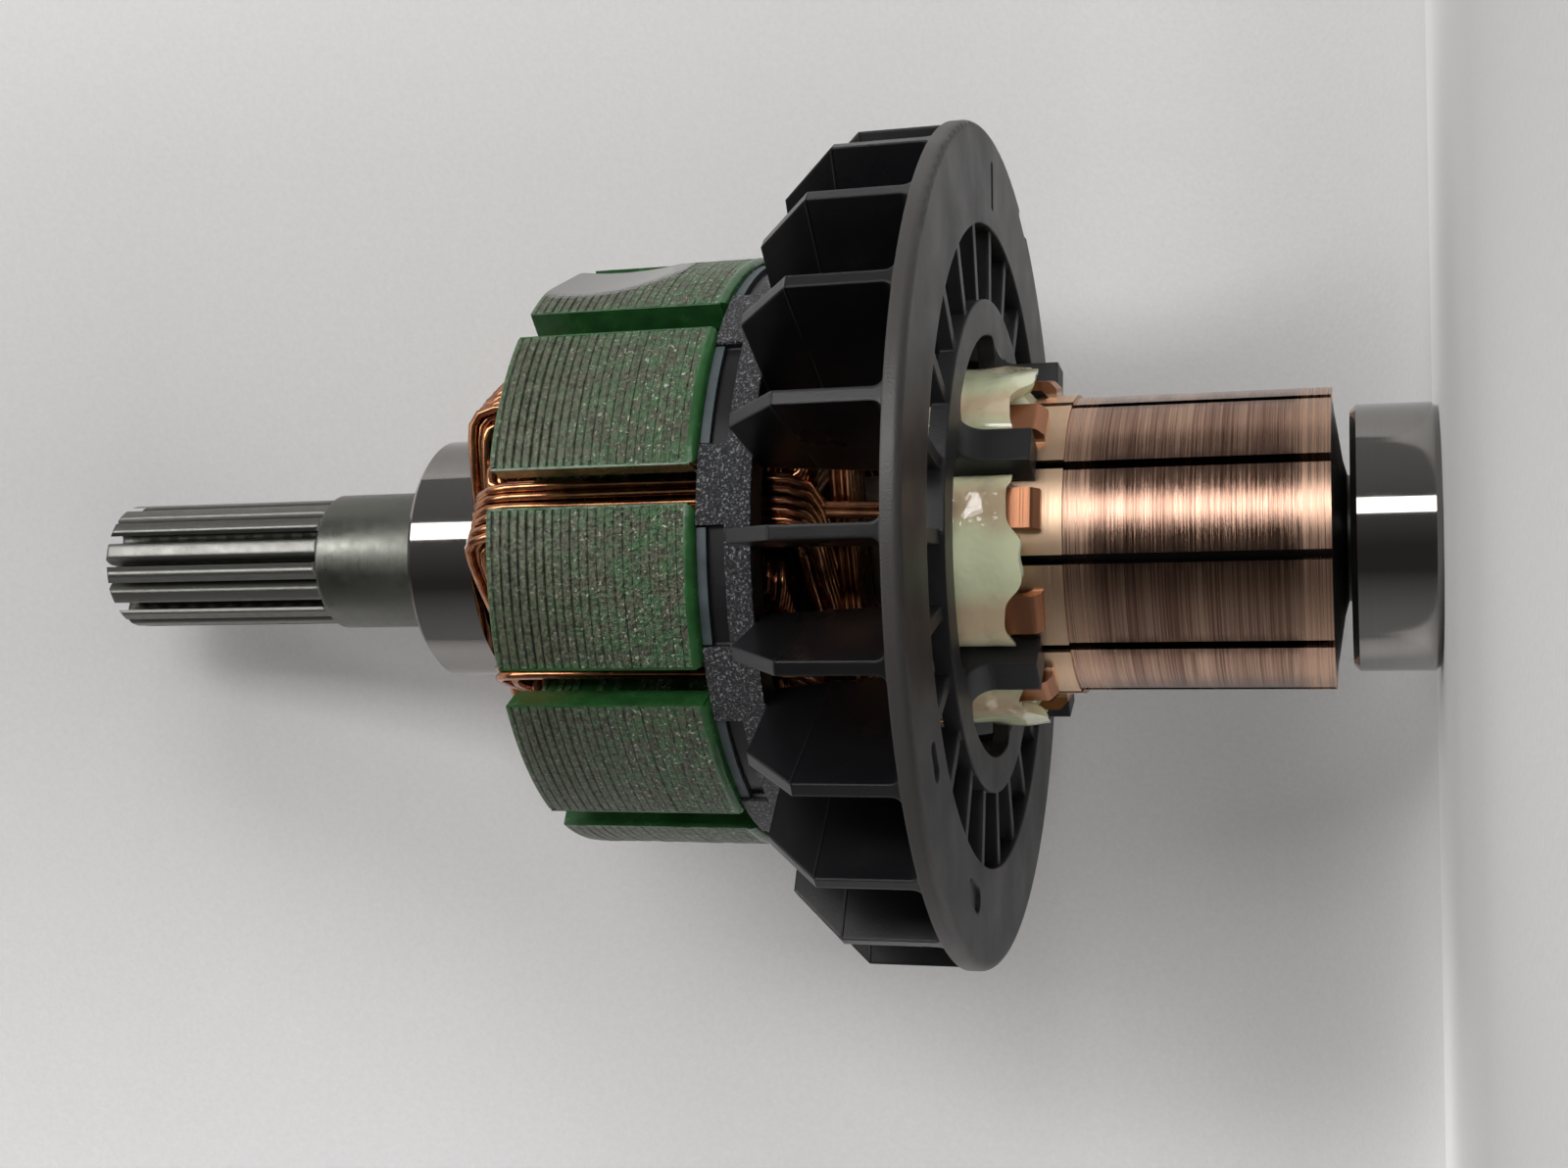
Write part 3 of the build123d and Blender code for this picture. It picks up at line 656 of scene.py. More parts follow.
plainLooks = {
    "cagePlastic": {"color": (0.52, 0.48, 0.38), "rough": 0.45, "grainPerMm": 3.0, "bumpMm": 0.01},
    "commutatorPlastic": {"color": (0.008, 0.007, 0.007), "rough": 0.36, "grainPerMm": 6.0, "bumpMm": 0.02},
    "greenCoat": {"color": (0.016, 0.074, 0.019), "rough": 0.24, "grainPerMm": 1.6, "bumpMm": 0.04},
    "insulatingBoard": {"color": (0.050, 0.066, 0.070), "rough": 0.5, "grainPerMm": 8.0, "bumpMm": 0.01},
    "insulatingSleeve": {"color": (0.06, 0.045, 0.03), "rough": 0.45, "grainPerMm": 4.0, "bumpMm": 0.01},
}
cagePlastic = makePlain("cagePlastic", plainLooks)
commutatorPlastic = makePlain("commutatorPlastic", plainLooks)
greenCoat = makePlain("greenCoat", plainLooks)
insulatingBoard = makePlain("insulatingBoard", plainLooks)
insulatingSleeve = makePlain("insulatingSleeve", plainLooks)
print("materials made")

# frame pieces: each gets the material of the first word in this list that its name holds
nodeMaterials = {
    "_ring": bearingSteel,
    "_balls": ballSteel,
    "_cage": cagePlastic,
    "_shield": shieldSteel,
    "_sleeve": insulatingSleeve,
    "seat_disc": insulatingBoard,
    "commutator_bar": copperBar,
    "commutator_moulding": commutatorPlastic,
    "resin_bead": curedResin,
    "lamination_stack": coatedLaminations,
    "winding": enamelledWire,
    "pinion": pinionSteel,
    "shaft": shaftSteel,
    "fan": fanPlastic,
}
for name, node in nodes.items():
    node.data.materials.clear()
    node.data.materials.append(next(material for word, material in nodeMaterials.items() if word in name))

# winding: ten coils of enamelled wire, each a closed loop through two slots, and the leads to the hooks
coilSetup = {
    "span": 4,  # slots from one leg to the other
    "lastCoil": 7,  # the one laid on top of the others
    "driveTop": 58.1,
    "fanLow": 33.1,
    "discLow": 39.75,
    "turnRadius": 13.3,
    "passRadius": 7.0,
    "thick": 1.8,
    "innerLeg": {"radius": 10.9, "width": 2.3, "depth": 2.6},
    "outerLeg": {"radius": 13.4, "width": 3.6, "depth": 1.9},
    "endTurn": {"width": 3.6, "depth": 1.25},
    "step": 1.2,
    "softening": 3,
    "rows": 3,
    "columns": 6,
    "wire": 0.62,
    "wander": 0.26,
    "wanderLength": 20.0,
}
leadSetup = {
    "route": [(12.0, 38.3), (11.1, 31.5), (10.1, 25.4)],
    "stepsEach": 4,
    "width": 0.9,
    "depth": 0.3,
    "wires": 2,
    "firstSeed": 20,
}


def addStep(tree, kind, output, **inputs):
    named = {key.replace("_", " "): value for key, value in inputs.items()}
    return addField(tree, "GeometryNode" + kind, output, named)


def makeStrandTree():
    # strands laid side by side along a route, wandering a little, each a round wire
    inputs = {
        "Geometry": "Geometry",
        "Rows": "Int",
        "Columns": "Int",
        "Wire Diameter": "Float",
        "Wander": "Float",
        "Wander Length": "Float",
        "Seed": "Int",
        "Material": "Material",
    }
    tree, into, out = newTree("wireStrands", "GeometryNodeTree", inputs, {"Geometry": "Geometry"})

    def stored(name, kind):
        return addField(tree, "GeometryNodeInputNamedAttribute", "Attribute", {"Name": name}, data_type=kind)

    route = addStep(tree, "MeshToCurve", "Curve", Mesh=into["Geometry"])
    wanted = {"Geometry": route, "Amount": into["Rows"] * into["Columns"]}
    copies = fieldsOf(addNode(tree, "GeometryNodeDuplicateElements", wanted, domain="SPLINE"))
    # each strand's own row and column, with every second row half a wire further on
    index = copies["Duplicate Index"]
    row = calc("FLOOR", (index + 0.5) / into["Columns"])
    column = index - row * into["Columns"]
    stagger = calc("MODULO", row, 2.0) * 0.5
    across = (column + stagger + 0.25) / into["Columns"]
    deep = (row + 0.5) / into["Rows"]
    # noise along the strand, read at a place of its own for each strand and coil
    along = addStep(tree, "SplineParameter", "Length")
    spot = joinPoint(along / into["Wander Length"], index * 3.7, into["Seed"] * 11.3)
    drift = addField(tree, "ShaderNodeTexNoise", "Color", {"Vector": spot, "Scale": 1.0, "Detail": 1.0})
    drift = vectorCalc("SCALE", vectorCalc("SUBTRACT", drift, (0.5, 0.5, 0.5)), into["Wander"])
    widthWay = stored("across", "FLOAT_VECTOR")
    heading = addStep(tree, "InputTangent", "Tangent")
    depthWay = vectorCalc("NORMALIZE", vectorCalc("CROSS_PRODUCT", heading, widthWay))
    sideways = vectorCalc("SCALE", widthWay, (across - 0.5) * stored("width", "FLOAT"))
    upwards = vectorCalc("SCALE", depthWay, (deep - 0.5) * stored("depth", "FLOAT"))
    offset = vectorCalc("ADD", vectorCalc("ADD", sideways, upwards), drift)
    moved = addStep(tree, "SetPosition", "Geometry", Geometry=copies["Geometry"], Offset=offset)
    profile = addStep(tree, "CurvePrimitiveCircle", "Curve", Resolution=6, Radius=into["Wire Diameter"] * 0.5)
    wires = addStep(tree, "CurveToMesh", "Mesh", Curve=moved, Profile_Curve=profile, Fill_Caps=True)
    wires = addStep(tree, "SetShadeSmooth", "Geometry", Geometry=wires)
    wires = addStep(tree, "RealizeInstances", "Geometry", Geometry=wires)
    plug(out["Geometry"], addStep(tree, "SetMaterial", "Geometry", Geometry=wires, Material=into["Material"]))
    return tree


def applyTree(piece, tree, values):
    modifier = piece.modifiers.new(tree.name, "NODES")
    modifier.node_group = tree
    for item in tree.interface.items_tree:
        if item.item_type == "SOCKET" and item.in_out == "INPUT" and item.name in values:
            modifier[item.identifier] = values[item.name]
    bakeModifiers(piece)


def routePiece(name, stations, closed):
    # stations: (point, way across, width, depth), all in millimetres
    mesh = bpy.data.meshes.new(name)
    count = len(stations)
    edges = [(i, (i + 1) % count) for i in range(count if closed else count - 1)]
    mesh.from_pydata([tuple(s[0] * mm) for s in stations], edges, [])
    across = mesh.attributes.new("across", "FLOAT_VECTOR", "POINT")
    across.data.foreach_set("vector", [c for s in stations for c in s[1]])
    for key, column in (("width", 2), ("depth", 3)):
        sizes = mesh.attributes.new(key, "FLOAT", "POINT")
        sizes.data.foreach_set("value", [s[column] * mm for s in stations])
    return linkObject(name, mesh)


def relaxRoute(stations, rounds):
    # softens the corners of a closed route, its way across and its section together
    count = len(stations)
    for _ in range(rounds):
        threes = [(stations[i - 1], stations[i], stations[(i + 1) % count]) for i in range(count)]
        stations = [tuple((a + b * 2 + c) * 0.25 for a, b, c in zip(*three)) for three in threes]
    return [(p, w.normalized(), width, depth) for p, w, width, depth in stations]


def coilStations(setup, core, index):
    # coils are laid one on another, so each has its own height at both ends of the core
    layers = core["slots"] // 2
    pitch = 360 / core["slots"]

    def layerOf(coil):
        return (coil - setup["lastCoil"] - 1) % layers

    layer = layerOf(index)
    startTurn = core["slotTurn"] + index * pitch
    endTurn = startTurn + setup["span"] * pitch
    # a slot holds two coils: the one laid last lies outside
    startLeg = setup["outerLeg"] if layer > layerOf(index - setup["span"]) else setup["innerLeg"]
    endLeg = setup["outerLeg"] if layer > layerOf(index + setup["span"]) else setup["innerLeg"]
    thick = setup["thick"]
    driveStep = (setup["driveTop"] - core["high"] - thick) / (layers - 1)
    fanStep = (setup["discLow"] - setup["fanLow"] - thick) / (layers - 1)
    driveHeight = core["high"] + thick / 2 + layer * driveStep
    fanHeight = setup["discLow"] - thick / 2 - layer * fanStep

    def leg(turn, form, side, low, high):
        way = polar(1, turn + 90) * side
        steps = max(2, round(abs(high - low) / setup["step"]))
        return [
            (polar(form["radius"], turn, low + (high - low) * i / steps), way, form["width"], form["depth"])
            for i in range(steps + 1)
        ]

    def endTurnStations(fromTurn, toTurn, height):
        # in plan, an arc through both slots and a point beside the sleeve
        form = setup["endTurn"]
        middle = polar(setup["passRadius"], (fromTurn + toTurn) / 2)
        chordEnd = polar(setup["turnRadius"], toTurn)
        chordHalf = (chordEnd - polar(setup["turnRadius"], fromTurn)) / 2
        rise = (middle - (chordEnd - chordHalf)).length
        radius = (chordHalf.length_squared + rise ** 2) / (2 * rise)
        outwards = middle.normalized()
        centre = middle - outwards * radius
        swing = math.asin(chordHalf.length / radius)
        steps = round(2 * swing * radius / setup["step"])
        stations = []
        for i in range(1, steps):
            angle = swing * (2 * i / steps - 1)
            spoke = outwards * math.cos(angle) + chordHalf.normalized() * math.sin(angle)
            place = centre + spoke * radius
            place.z = height
            stations.append((place, -spoke, form["width"], form["depth"]))
        return stations

    route = leg(startTurn, startLeg, -1, fanHeight, driveHeight)
    route += endTurnStations(startTurn, endTurn, driveHeight)
    route += leg(endTurn, endLeg, 1, driveHeight, fanHeight)
    route += endTurnStations(endTurn, startTurn, fanHeight)
    return relaxRoute(route, setup["softening"])


def leadStations(setup, turn):
    # from an end turn down to a hook, in straight stretches
    route, steps = setup["route"], setup["stepsEach"]
    spots = [route[0]]
    for start, end in zip(route, route[1:]):
        for i in range(1, steps + 1):
            spots.append([a + (b - a) * i / steps for a, b in zip(start, end)])
    way = polar(1, turn + 90)
    return [(polar(radius, turn, height), way, setup["width"], setup["depth"]) for radius, height in spots]


def makeCoils(setup, leads, core, bars):
    strands = makeStrandTree()
    values = {
        "Rows": setup["rows"],
        "Columns": setup["columns"],
        "Wire Diameter": setup["wire"] * mm,
        "Wander": setup["wander"] * mm,
        "Wander Length": setup["wanderLength"] * mm,
        "Material": enamelledWire,
    }
    for index in range(core["slots"]):
        coil = routePiece(f"coil_{index + 1:02d}", coilStations(setup, core, index), True)
        applyTree(coil, strands, {**values, "Seed": index})
        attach(coil, "rotor")
        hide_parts("winding")
    values.update({"Rows": 1, "Columns": leads["wires"]})
    for index in range(bars["count"]):
        stations = leadStations(leads, bars["firstTurn"] + index * bars["pitch"])
        lead = routePiece(f"hookLead_{index + 1:02d}", stations, False)
        applyTree(lead, strands, {**values, "Seed": leads["firstSeed"] + index})
        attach(lead, "rotor")
        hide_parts("winding")
    print("coils made")


makeCoils(coilSetup, leadSetup, coreSetup, barPlaces)

# core: a pack of thin sheets, a rounded plate at each end and a coat on the slots' walls


def roundedCorner(before, corner, after, radius, steps):
    # points of an arc that rounds one corner of a flat outline
    toBefore, toAfter = (before - corner).normalized(), (after - corner).normalized()
    half = math.acos(max(-1, min(1, toBefore.dot(toAfter)))) / 2
    reach = radius / math.tan(half)
    centre = corner + (toBefore + toAfter).normalized() * (radius / math.sin(half))
    start, end = corner + toBefore * reach - centre, corner + toAfter * reach - centre
    return [centre + start.slerp(end, i / steps) for i in range(steps + 1)]


def slotContour(setup, inset=0.0):
    # a slot's whole wall, from one side of its mouth round the floor to the other, about +X
    halfPitch = math.pi / setup["slots"]
    tip = (setup["radius"] - setup["toothTip"]) * math.cos(halfPitch) + setup["toothTip"] / 2
    low, high = setup["slotFloor"] + inset, tip - inset
    mouth = setup["opening"] / 2 - inset
    mouthEnd = math.sqrt(setup["radius"] ** 2 - mouth ** 2)

    def halfWidth(radius):
        return radius * math.tan(halfPitch) - setup["toothWidth"] / 2 / math.cos(halfPitch) - inset

    side = [(mouthEnd, mouth), (high, mouth), (high, halfWidth(high)), (low, halfWidth(low))]
    corners = [Vector((x, -y)) for x, y in side] + [Vector(spot) for spot in reversed(side)]
    points = corners[:2]
    for i in range(2, 6):
        points += roundedCorner(corners[i - 1], corners[i], corners[i + 1], setup["slotRound"] - inset, 3)
    return points + corners[6:]


def turned(point, angleDeg):
    cos, sin = math.cos(math.radians(angleDeg)), math.sin(math.radians(angleDeg))
    return Vector((point.x * cos - point.y * sin, point.x * sin + point.y * cos))


def sheetOutline(setup):
    pitch = 360 / setup["slots"]
    contour = slotContour(setup)
    edgeTurn = math.degrees(math.atan2(contour[-1].y, contour[-1].x))
    toothSpan = pitch - 2 * edgeTurn
    outline = []
    for slot in range(setup["slots"]):
        turn = setup["slotTurn"] + slot * pitch
        outline += [turned(p, turn) for p in contour]
        for i in range(1, setup["toothSteps"]):
            tipTurn = turn + edgeTurn + toothSpan * i / setup["toothSteps"]
            outline.append(polar(setup["radius"], tipTurn).to_2d())
    return outline


def offsetOutline(outline, distance):
    # moves each point of a closed outline that runs anticlockwise inwards by the distance
    count = len(outline)
    moved = []
    for i, point in enumerate(outline):
        ahead = (outline[(i + 1) % count] - point).normalized()
        behind = (point - outline[i - 1]).normalized()
        normal = Vector((-(ahead.y + behind.y), ahead.x + behind.x)).normalized()
        spread = max(0.5, normal.dot(Vector((-ahead.y, ahead.x))))
        moved.append(point + normal * (distance / spread))
    return moved


def plateMesh(name, setup, thick, edge, steps, grow=0.0):
    # one plate with the slots' outline and the shaft's bore, its rims rounded
    outline = offsetOutline(sheetOutline(setup), -grow)
    count, boreSteps = len(outline), setup["boreSteps"]
    angles = [math.pi / 2 * i / steps for i in range(steps + 1)]
    rim = [(edge * (1 - math.cos(a)), edge * (1 - math.sin(a))) for a in angles]
    rings = rim + [(thick - z, inset) for z, inset in reversed(rim)]
    points, faces = [], []
    for z, inset in rings:
        points += [(p.x, p.y, z) for p in offsetOutline(outline, inset)]
    for start in range(0, (len(rings) - 1) * count, count):
        for i in range(count):
            j = (i + 1) % count
            faces.append((start + i, start + j, start + count + j, start + count + i))
    lowBore = len(points)
    highBore = lowBore + boreSteps
    points += [polar(setup["bore"], 360 * i / boreSteps, z) for z in (0, thick) for i in range(boreSteps)]
    for i in range(boreSteps):
        j = (i + 1) % boreSteps
        faces.append((lowBore + j, lowBore + i, highBore + i, highBore + j))
    for outer, inner in ((0, lowBore), ((len(rings) - 1) * count, highBore)):
        lookup = [*range(outer, outer + count), *range(inner, inner + boreSteps)]
        loops = [[Vector(points[k]) for k in lookup[:count]], [Vector(points[k]) for k in lookup[count:]]]
        faces += [tuple(lookup[i] for i in triangle) for triangle in tessellate_polygon(loops)]
    piece = meshPiece(name, points, faces)
    turnFacesOut(piece.data)
    return piece


def makeSheetStackTree():
    # repeats a sheet along Z, each a little turned and a little larger or smaller than the next
    inputs = {
        "Geometry": "Geometry",
        "Count": "Int",
        "Pitch": "Float",
        "Start": "Float",
        "Turn Jitter": "Float",
        "Size Jitter": "Float",
        "Seed": "Int",
        "Material": "Material",
    }
    tree, into, out = newTree("sheetStack", "GeometryNodeTree", inputs, {"Geometry": "Geometry"})
    start, pitch = joinPoint(z=into["Start"]), joinPoint(z=into["Pitch"])
    line = addStep(tree, "MeshLine", "Mesh", Count=into["Count"], Start_Location=start, Offset=pitch)

    def spread(amount, seedShift):
        node = addNode(tree, "FunctionNodeRandomValue", data_type="FLOAT")
        low, high = [s for s in node.inputs if s.type == "VALUE" and s.enabled][:2]
        plug(low, amount * -1.0)
        plug(high, amount)
        plug(node.inputs["Seed"], into["Seed"] + seedShift)
        return Field(next(s for s in node.outputs if s.type == "VALUE" and s.enabled))

    turn = joinPoint(z=spread(into["Turn Jitter"], 0.0))
    size = calc("ADD", 1.0, spread(into["Size Jitter"], 7.0))
    scale = joinPoint(size, size, 1.0)
    placing = {"Points": line, "Instance": into["Geometry"], "Rotation": turn, "Scale": scale}
    sheets = addStep(tree, "InstanceOnPoints", "Instances", **placing)
    sheets = addStep(tree, "RealizeInstances", "Geometry", Geometry=sheets)
    sheets = addStep(tree, "SetMaterial", "Geometry", Geometry=sheets, Material=into["Material"])
    plug(out["Geometry"], sheets)
    return tree


def grindBalanceCut(setup, mesh):
    # the wheel's shallow scallop in one tooth
    way = polar(1, setup["cutTurn"])
    reach = setup["cutterRadius"] * mm
    centre = (setup["radius"] - setup["cutDepth"]) * mm + reach
    middle = (setup["high"] - setup["cutFromEnd"]) * mm
    for vertex in mesh.vertices:
        outwards = vertex.co.dot(way)
        along = vertex.co.z - middle
        if outwards > 0 and (outwards - centre) ** 2 + along ** 2 < reach ** 2:
            vertex.co -= way * (outwards - (centre - math.sqrt(reach ** 2 - along ** 2)))


def makeSlotCoat(setup):
    # a thin wall of coat round every slot, in levels so that the balance cut can be ground into it
    proud, buried = slotContour(setup, -setup["coatProud"]), slotContour(setup, setup["coatWall"])
    low, high = setup["low"] + setup["fanPlate"]["round"], setup["high"] - setup["drivePlate"]["round"]
    points, faces = [], []
    count, levels = len(proud), setup["coatLevels"]
    for slot in range(setup["slots"]):
        turn = setup["slotTurn"] + slot * 360 / setup["slots"]
        first = len(points)
        for level in range(levels + 1):
            z = low + (high - low) * level / levels
            points += [(*turned(p, turn), z) for contour in (proud, buried) for p in contour]
        last = first + 2 * count * levels
        for i in range(count - 1):
            faces.append((first + i, first + count + i, first + count + i + 1, first + i + 1))
            faces.append((last + i, last + i + 1, last + count + i + 1, last + count + i))
        for face in range(first, last, 2 * count):
            back, nextFace, nextBack = face + count, face + 2 * count, face + 3 * count
            faces += [(face + i, face + i + 1, nextFace + i + 1, nextFace + i) for i in range(count - 1)]
            faces += [(back + i + 1, back + i, nextBack + i, nextBack + i + 1) for i in range(count - 1)]
            faces.append((face, nextFace, nextBack, back))
            faces.append(tuple(start + count - 1 for start in (face, back, nextBack, nextFace)))
    coat = meshPiece("slotCoat", points, faces)
    grindBalanceCut(setup, coat.data)
    turnFacesOut(coat.data)
    shadeByAngle(coat.data, 40)
    coat.data.materials.append(greenCoat)
    return coat


def makeCore(setup):
    fanPlate, drivePlate = setup["fanPlate"], setup["drivePlate"]
    stackLow = setup["low"] + fanPlate["thick"] - fanPlate["round"]
    stackHigh = setup["high"] - drivePlate["thick"] + drivePlate["round"]
    pitch = (stackHigh - stackLow) / setup["sheets"]
    stack = plateMesh("laminations", setup, pitch, setup["sheetEdge"], 1)
    values = {
        "Count": setup["sheets"],
        "Pitch": pitch * mm,
        "Start": stackLow * mm,
        "Turn Jitter": math.radians(setup["turnJitter"]),
        "Size Jitter": setup["sizeJitter"],
        "Seed": setup["jitterSeed"],
        "Material": coatedLaminations,
    }
    applyTree(stack, makeSheetStackTree(), values)
    grindBalanceCut(setup, stack.data)
    pieces = [stack, makeSlotCoat(setup)]
    for name, form, z, material in (
        ("fanEndCoat", fanPlate, setup["low"], greenCoat),
        ("driveEndCoat", drivePlate, setup["high"] - drivePlate["thick"], coatedLaminations),
    ):
        plate = plateMesh(name, setup, form["thick"], form["round"], 3, form["grow"])
        turn = Matrix.Rotation(math.radians(form["turn"]), 4, "Z")
        plate.data.transform(Matrix.Translation((0, 0, z * mm)) @ turn)
        grindBalanceCut(setup, plate.data)
        shadeByAngle(plate.data, 40)
        plate.data.materials.append(material)
        pieces.append(plate)
    for piece in pieces:
        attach(piece, "rotor")
        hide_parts("lamination_stack")
    print("core made")


makeCore(coreSetup)

# resin: five glossy lumps over the hooks, each run between two of the fan's fingers
resinSetup = {
    "count": 5,
    "firstTurn": -23.4,
    "halfSpan": 29.7,
    "hookTurn": 18.0,
    "front": 23.2,
    "frontWaves": 0.3,
    "back": 29.6,
    "inner": 9.32,
    "outer": 11.2,
    "thinEnd": 0.3,
    "round": 0.95,
    "endRound": 1.7,
    "endSetBack": 1.2,
    "scallopDepth": 1.05,
    "scallopWidth": 1.75,
    "topWaves": 0.28,
    "steps": 72,
    "roundSteps": 6,
    "topSteps": 14,
}


def resinForm(setup, turn, place, index):
    # where a lump begins, how far out it stands and how round its edge is at one turn
    reach = (1 - abs(place)) * math.radians(setup["halfSpan"]) * setup["outer"]
    ease = math.sqrt(max(0.0, 1 - (1 - min(reach / setup["endRound"], 1)) ** 2))
    front = setup["front"] + setup["frontWaves"] * noise.noise(Vector((turn * 0.12, index * 3.1, 0.4)))
    for hook in (-setup["hookTurn"], setup["hookTurn"]):
        away = abs(math.radians(turn - hook)) * setup["outer"]
        front += setup["scallopDepth"] * math.exp(-((away / setup["scallopWidth"]) ** 4))
    front += (1 - ease) * setup["endSetBack"]
    thickness = setup["outer"] - setup["inner"]
    outer = setup["inner"] + thickness * (setup["thinEnd"] + (1 - setup["thinEnd"]) * ease)
    corner = min(setup["round"], (outer - setup["inner"]) * 0.9)
    return front, outer, corner


def resinSection(setup, front, outer, corner):
    # (height, radius) round one cut through a lump: hollow under the front's lip, bevelled at the back
    inner, back = setup["inner"], setup["back"]
    angles = [math.pi / 2 * i / setup["roundSteps"] for i in range(setup["roundSteps"] + 1)]
    flat, steps = back - front - 2 * corner, setup["topSteps"]
    top = [front + corner + flat * i / steps for i in range(1, steps)]
    section = [(back, inner), (front + 0.2, inner)]
    section += [(front + corner * (1 - math.sin(a)), outer - corner * math.cos(a)) for a in angles]
    section += [(z, outer) for z in top]
    return section + [(back - corner * (1 - math.cos(a)), outer - corner * (1 - math.cos(a))) for a in angles]


def makeResinLump(setup, index):
    centre = setup["firstTurn"] + index * 360 / setup["count"]
    points, faces = [], []
    for step in range(setup["steps"] + 1):
        place = -1 + 2 * step / setup["steps"]
        turn = place * setup["halfSpan"]
        section = resinSection(setup, *resinForm(setup, turn, place, index))
        for z, radius in section:
            wave = noise.noise(Vector((z * 0.45, (turn + centre) * 0.055, index * 1.7))) * setup["topWaves"]
            share = (radius - setup["inner"]) / (setup["outer"] - setup["inner"])
            points.append(polar(radius + wave * share, centre + turn, z))
    count = len(section)
    last = setup["steps"] * count
    for start in range(0, last, count):
        for i in range(count):
            j = (i + 1) % count
            faces.append((start + i, start + j, start + count + j, start + count + i))
    faces += [tuple(range(count)), tuple(reversed(range(last, last + count)))]
    return meshPiece(f"resinLump_{index + 1}", points, faces)


def makeResin(setup):
    for index in range(setup["count"]):
        lump = makeResinLump(setup, index)
        turnFacesOut(lump.data)
        shadeByAngle(lump.data, 50)
        lump.data.materials.append(curedResin)
        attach(lump, "rotor")
        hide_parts(f"resin_bead_{index + 1}")
    print("resin made")


makeResin(resinSetup)

# stage: a pale floor under the standing armature and, behind it, a pale sheet that only shows from the front.
# The sheet leans a little, as a soft table lies under the armature, close to the fan's rim.
stageSetup = {
    "lean": 19.0,
    "tipHeight": 88.9,
    "tipGap": 6.8,
    "cove": 20.0,
    "coveSteps": 24,
    "coveLift": 0.02,
    "halfWidth": 420.0,
    "length": 420.0,
    "floor": 900.0,
    "sheet": (0.70, 0.695, 0.69),
    # the foot, near and ground tones are painted shade on the cove's foot and the floor
    "foot": (0.56, 0.557, 0.554),
    "near": (0.64, 0.637, 0.634),
    "ground": (0.47, 0.467, 0.464),
    "groundRange": (0.0, -45.0),
    "mirroredFrom": -15.0,
    # the next two tones end a painted light that pales the sheet lower down
    "paintedLightBelow": ((1.40, 1.40, 1.41), (1.30, 1.30, 1.32)),
    "paintedLightAbove": (0.95, 0.95, 0.95),
    "sideRange": (-65.0, 30.0),
    # a painted shade band beside the pinion: its heights, its width and its depth
    "pinionRange": (55.0, 92.0),
    "pinionWidth": (48.0, 6.0),
    "pinionPaintedShade": 0.22,
    "cells": ((0.97, 0.97, 0.97), (1.03, 1.03, 1.03)),
}


def makeStageMaterial(setup, oneSided):
    material = bpy.data.materials.new("paleSheet" if oneSided else "paleFloor")
    material.use_nodes = True
    tree = material.node_tree
    tree.nodes.clear()
    point = vectorCalc("SCALE", addField(tree, "ShaderNodeTexCoord", "Object"), 1 / mm)
    x, y, z = splitPoint(point)
    # painted shade: the cove is darker at its foot, and the floor darkens from the sheet towards the camera
    color = mixColor(ramp(z, 0.0, 1.2 * setup["cove"]), setup["foot" if oneSided else "near"], setup["sheet"])
    if not oneSided:
        color = mixColor(ramp(y, *setup["groundRange"]), color, setup["ground"])
    # painted light makes it paler below the armature, and a painted shade greys it a little beside the pinion
    pale = mixColor(ramp(z, 5.0, 55.0), *setup["paintedLightBelow"])
    color = mixColor(1.0, color, mixColor(ramp(x, *setup["sideRange"]), pale, setup["paintedLightAbove"]), "MULTIPLY")
    pinionShade = ramp(abs(x), *setup["pinionWidth"], 0.0, setup["pinionPaintedShade"]) * ramp(z, *setup["pinionRange"])
    color = mixColor(1.0, color, mixColor(pinionShade, (1.0, 1.0, 1.0), (0.0, 0.0, 0.0)), "MULTIPLY")
    cells = mixColor(ramp(noiseAt(point, 2.6, 4.0, 0.7), 0.3, 0.7), *setup["cells"])
    color = mixColor(1.0, color, cells, "MULTIPLY")
    relief = bumpedNormal(noiseAt(point, 2.2), 0.06, strength=0.35)
    surface = addField(tree, "ShaderNodeBsdfDiffuse", "BSDF", {"Color": color, "Normal": relief})
    path = fieldsOf(addNode(tree, "ShaderNodeLightPath"))
    hidden = path["Is Shadow Ray"]
    if not oneSided:
        # the ground in front of the armature stays out of its polished parts
        hidden = ramp(y, setup["mirroredFrom"], setup["mirroredFrom"] - 1.0) * path["Is Glossy Ray"]
    hidden = calc("MAXIMUM", addField(tree, "ShaderNodeNewGeometry", "Backfacing"), hidden)
    clear = addField(tree, "ShaderNodeBsdfTransparent", "BSDF")
    surface = addField(tree, "ShaderNodeMixShader", "Shader", {0: hidden, 1: surface, 2: clear})
    addNode(tree, "ShaderNodeOutputMaterial", {"Surface": surface})
    return material


def makeStage(setup):
    half = setup["floor"]
    corners = [(-half, -half, 0), (half, -half, 0), (half, half, 0), (-half, half, 0)]
    floor = meshPiece("floor", corners, [(0, 1, 2, 3)])
    floor.data.materials.append(makeStageMaterial(setup, False))
    side, cove, lean = setup["halfWidth"], setup["cove"], math.radians(setup["lean"])
    foot = setup["tipGap"] + setup["tipHeight"] * math.tan(lean)
    reach = cove / math.tan((math.pi / 2 - lean) / 2)
    profile = []
    for step in range(setup["coveSteps"] + 1):
        angle = (math.pi / 2 + lean) * step / setup["coveSteps"]
        height = cove * (1 - math.cos(angle)) + setup["coveLift"]
        profile.append((foot - reach + cove * math.sin(angle), height))
    profile.append((foot - setup["length"] * math.sin(lean), setup["length"] * math.cos(lean)))
    points = [(x, y, z) for y, z in profile for x in (-side, side)]
    faces = [(2 * i, 2 * i + 1, 2 * i + 3, 2 * i + 2) for i in range(len(profile) - 1)]
    sheet = meshPiece("backSheet", points, faces)
    sheet.data.materials.append(makeStageMaterial(setup, True))
    sheet.data.polygons.foreach_set("use_smooth", [True] * len(sheet.data.polygons))
    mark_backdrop(floor, sheet)


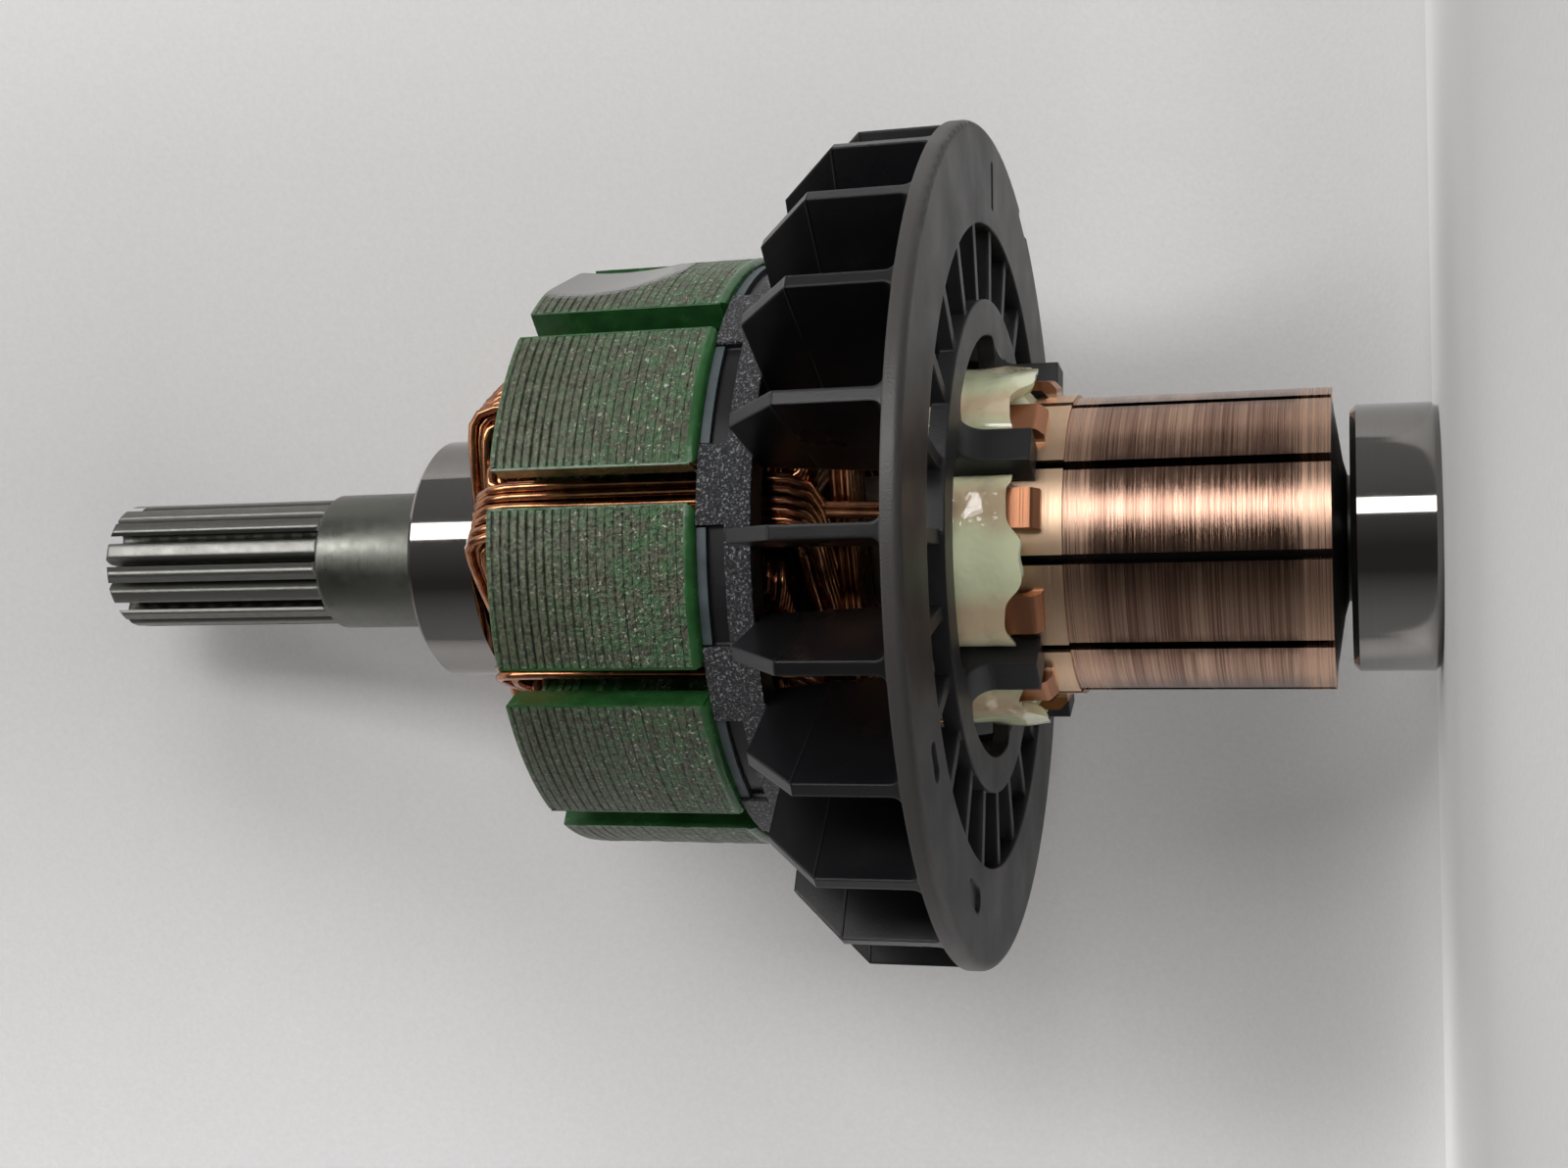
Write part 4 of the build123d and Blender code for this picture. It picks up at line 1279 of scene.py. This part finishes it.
makeStage(stageSetup)

# lights
lampSetup = {
    "key": {"place": (130, -255, 130), "size": (400, 75), "power": 0.68, "color": (1.0, 0.99, 0.985)},
    "top": {"place": (300, -170, 62), "size": (220, 110), "power": 0.48, "color": (1.0, 1.0, 1.0)},
    "side": {"place": (40, -300, 360), "size": (160, 160), "power": 0.12, "color": (1.0, 0.99, 0.97)},
    "back": {"place": (60, 260, 330), "size": (300, 300), "power": 1.0, "color": (1.0, 1.0, 1.0)},
}
roomSetup = {
    "target": (0, 0, 45),
    "dark": (0.060, 0.055, 0.052),
    "pale": (0.30, 0.295, 0.29),
    # directions that are pale, and how near to each the paleness begins and is full
    "paleWays": [((0.80, 0.15, 0.30), -0.25, 0.95), ((-0.96, 0.0, 0.10), 0.45, 0.95)],
}


def makeLights(lamps, room):
    target = Vector(room["target"]) * mm
    for name, lamp in lamps.items():
        data = bpy.data.lights.new(name + "Lamp", "AREA")
        data.shape = "RECTANGLE"
        data.size, data.size_y = (side * mm for side in lamp["size"])
        data.energy = lamp["power"]
        data.color = lamp["color"]
        holder = linkObject(name + "Lamp", data)
        holder.location = Vector(lamp["place"]) * mm
        holder.visible_glossy = name != "top"
        # the lamp's long side lies along the shaft
        back = (holder.location - target).normalized()
        across = back.cross(Vector((0, 0, 1)).cross(back)).normalized()
        holder.rotation_euler = Matrix((across, back.cross(across), back)).transposed().to_euler()


def makeRoom(room):
    # the room is dark, and pale from two sides
    world = bpy.data.worlds.new("softRoom")
    bpy.context.scene.world = world
    world.use_nodes = True
    background = next(n for n in world.node_tree.nodes if n.type == "BACKGROUND")
    way = addField(world.node_tree, "ShaderNodeTexCoord", "Generated")
    shares = [ramp(vectorCalc("DOT_PRODUCT", way, side), low, high) for side, low, high in room["paleWays"]]
    share = calc("ADD", *shares, clamp=True)
    plug(background.inputs["Color"], mixColor(share, room["dark"], room["pale"]))
    background.inputs["Strength"].default_value = 1.0


makeLights(lampSetup, roomSetup)
makeRoom(roomSetup)
bpy.context.scene.view_settings.view_transform = "Standard"
print("stage and lights made")

shownLow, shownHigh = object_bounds()
{"frame": [list(frameLow), list(frameHigh)], "shown": [list(shownLow), list(shownHigh)]}
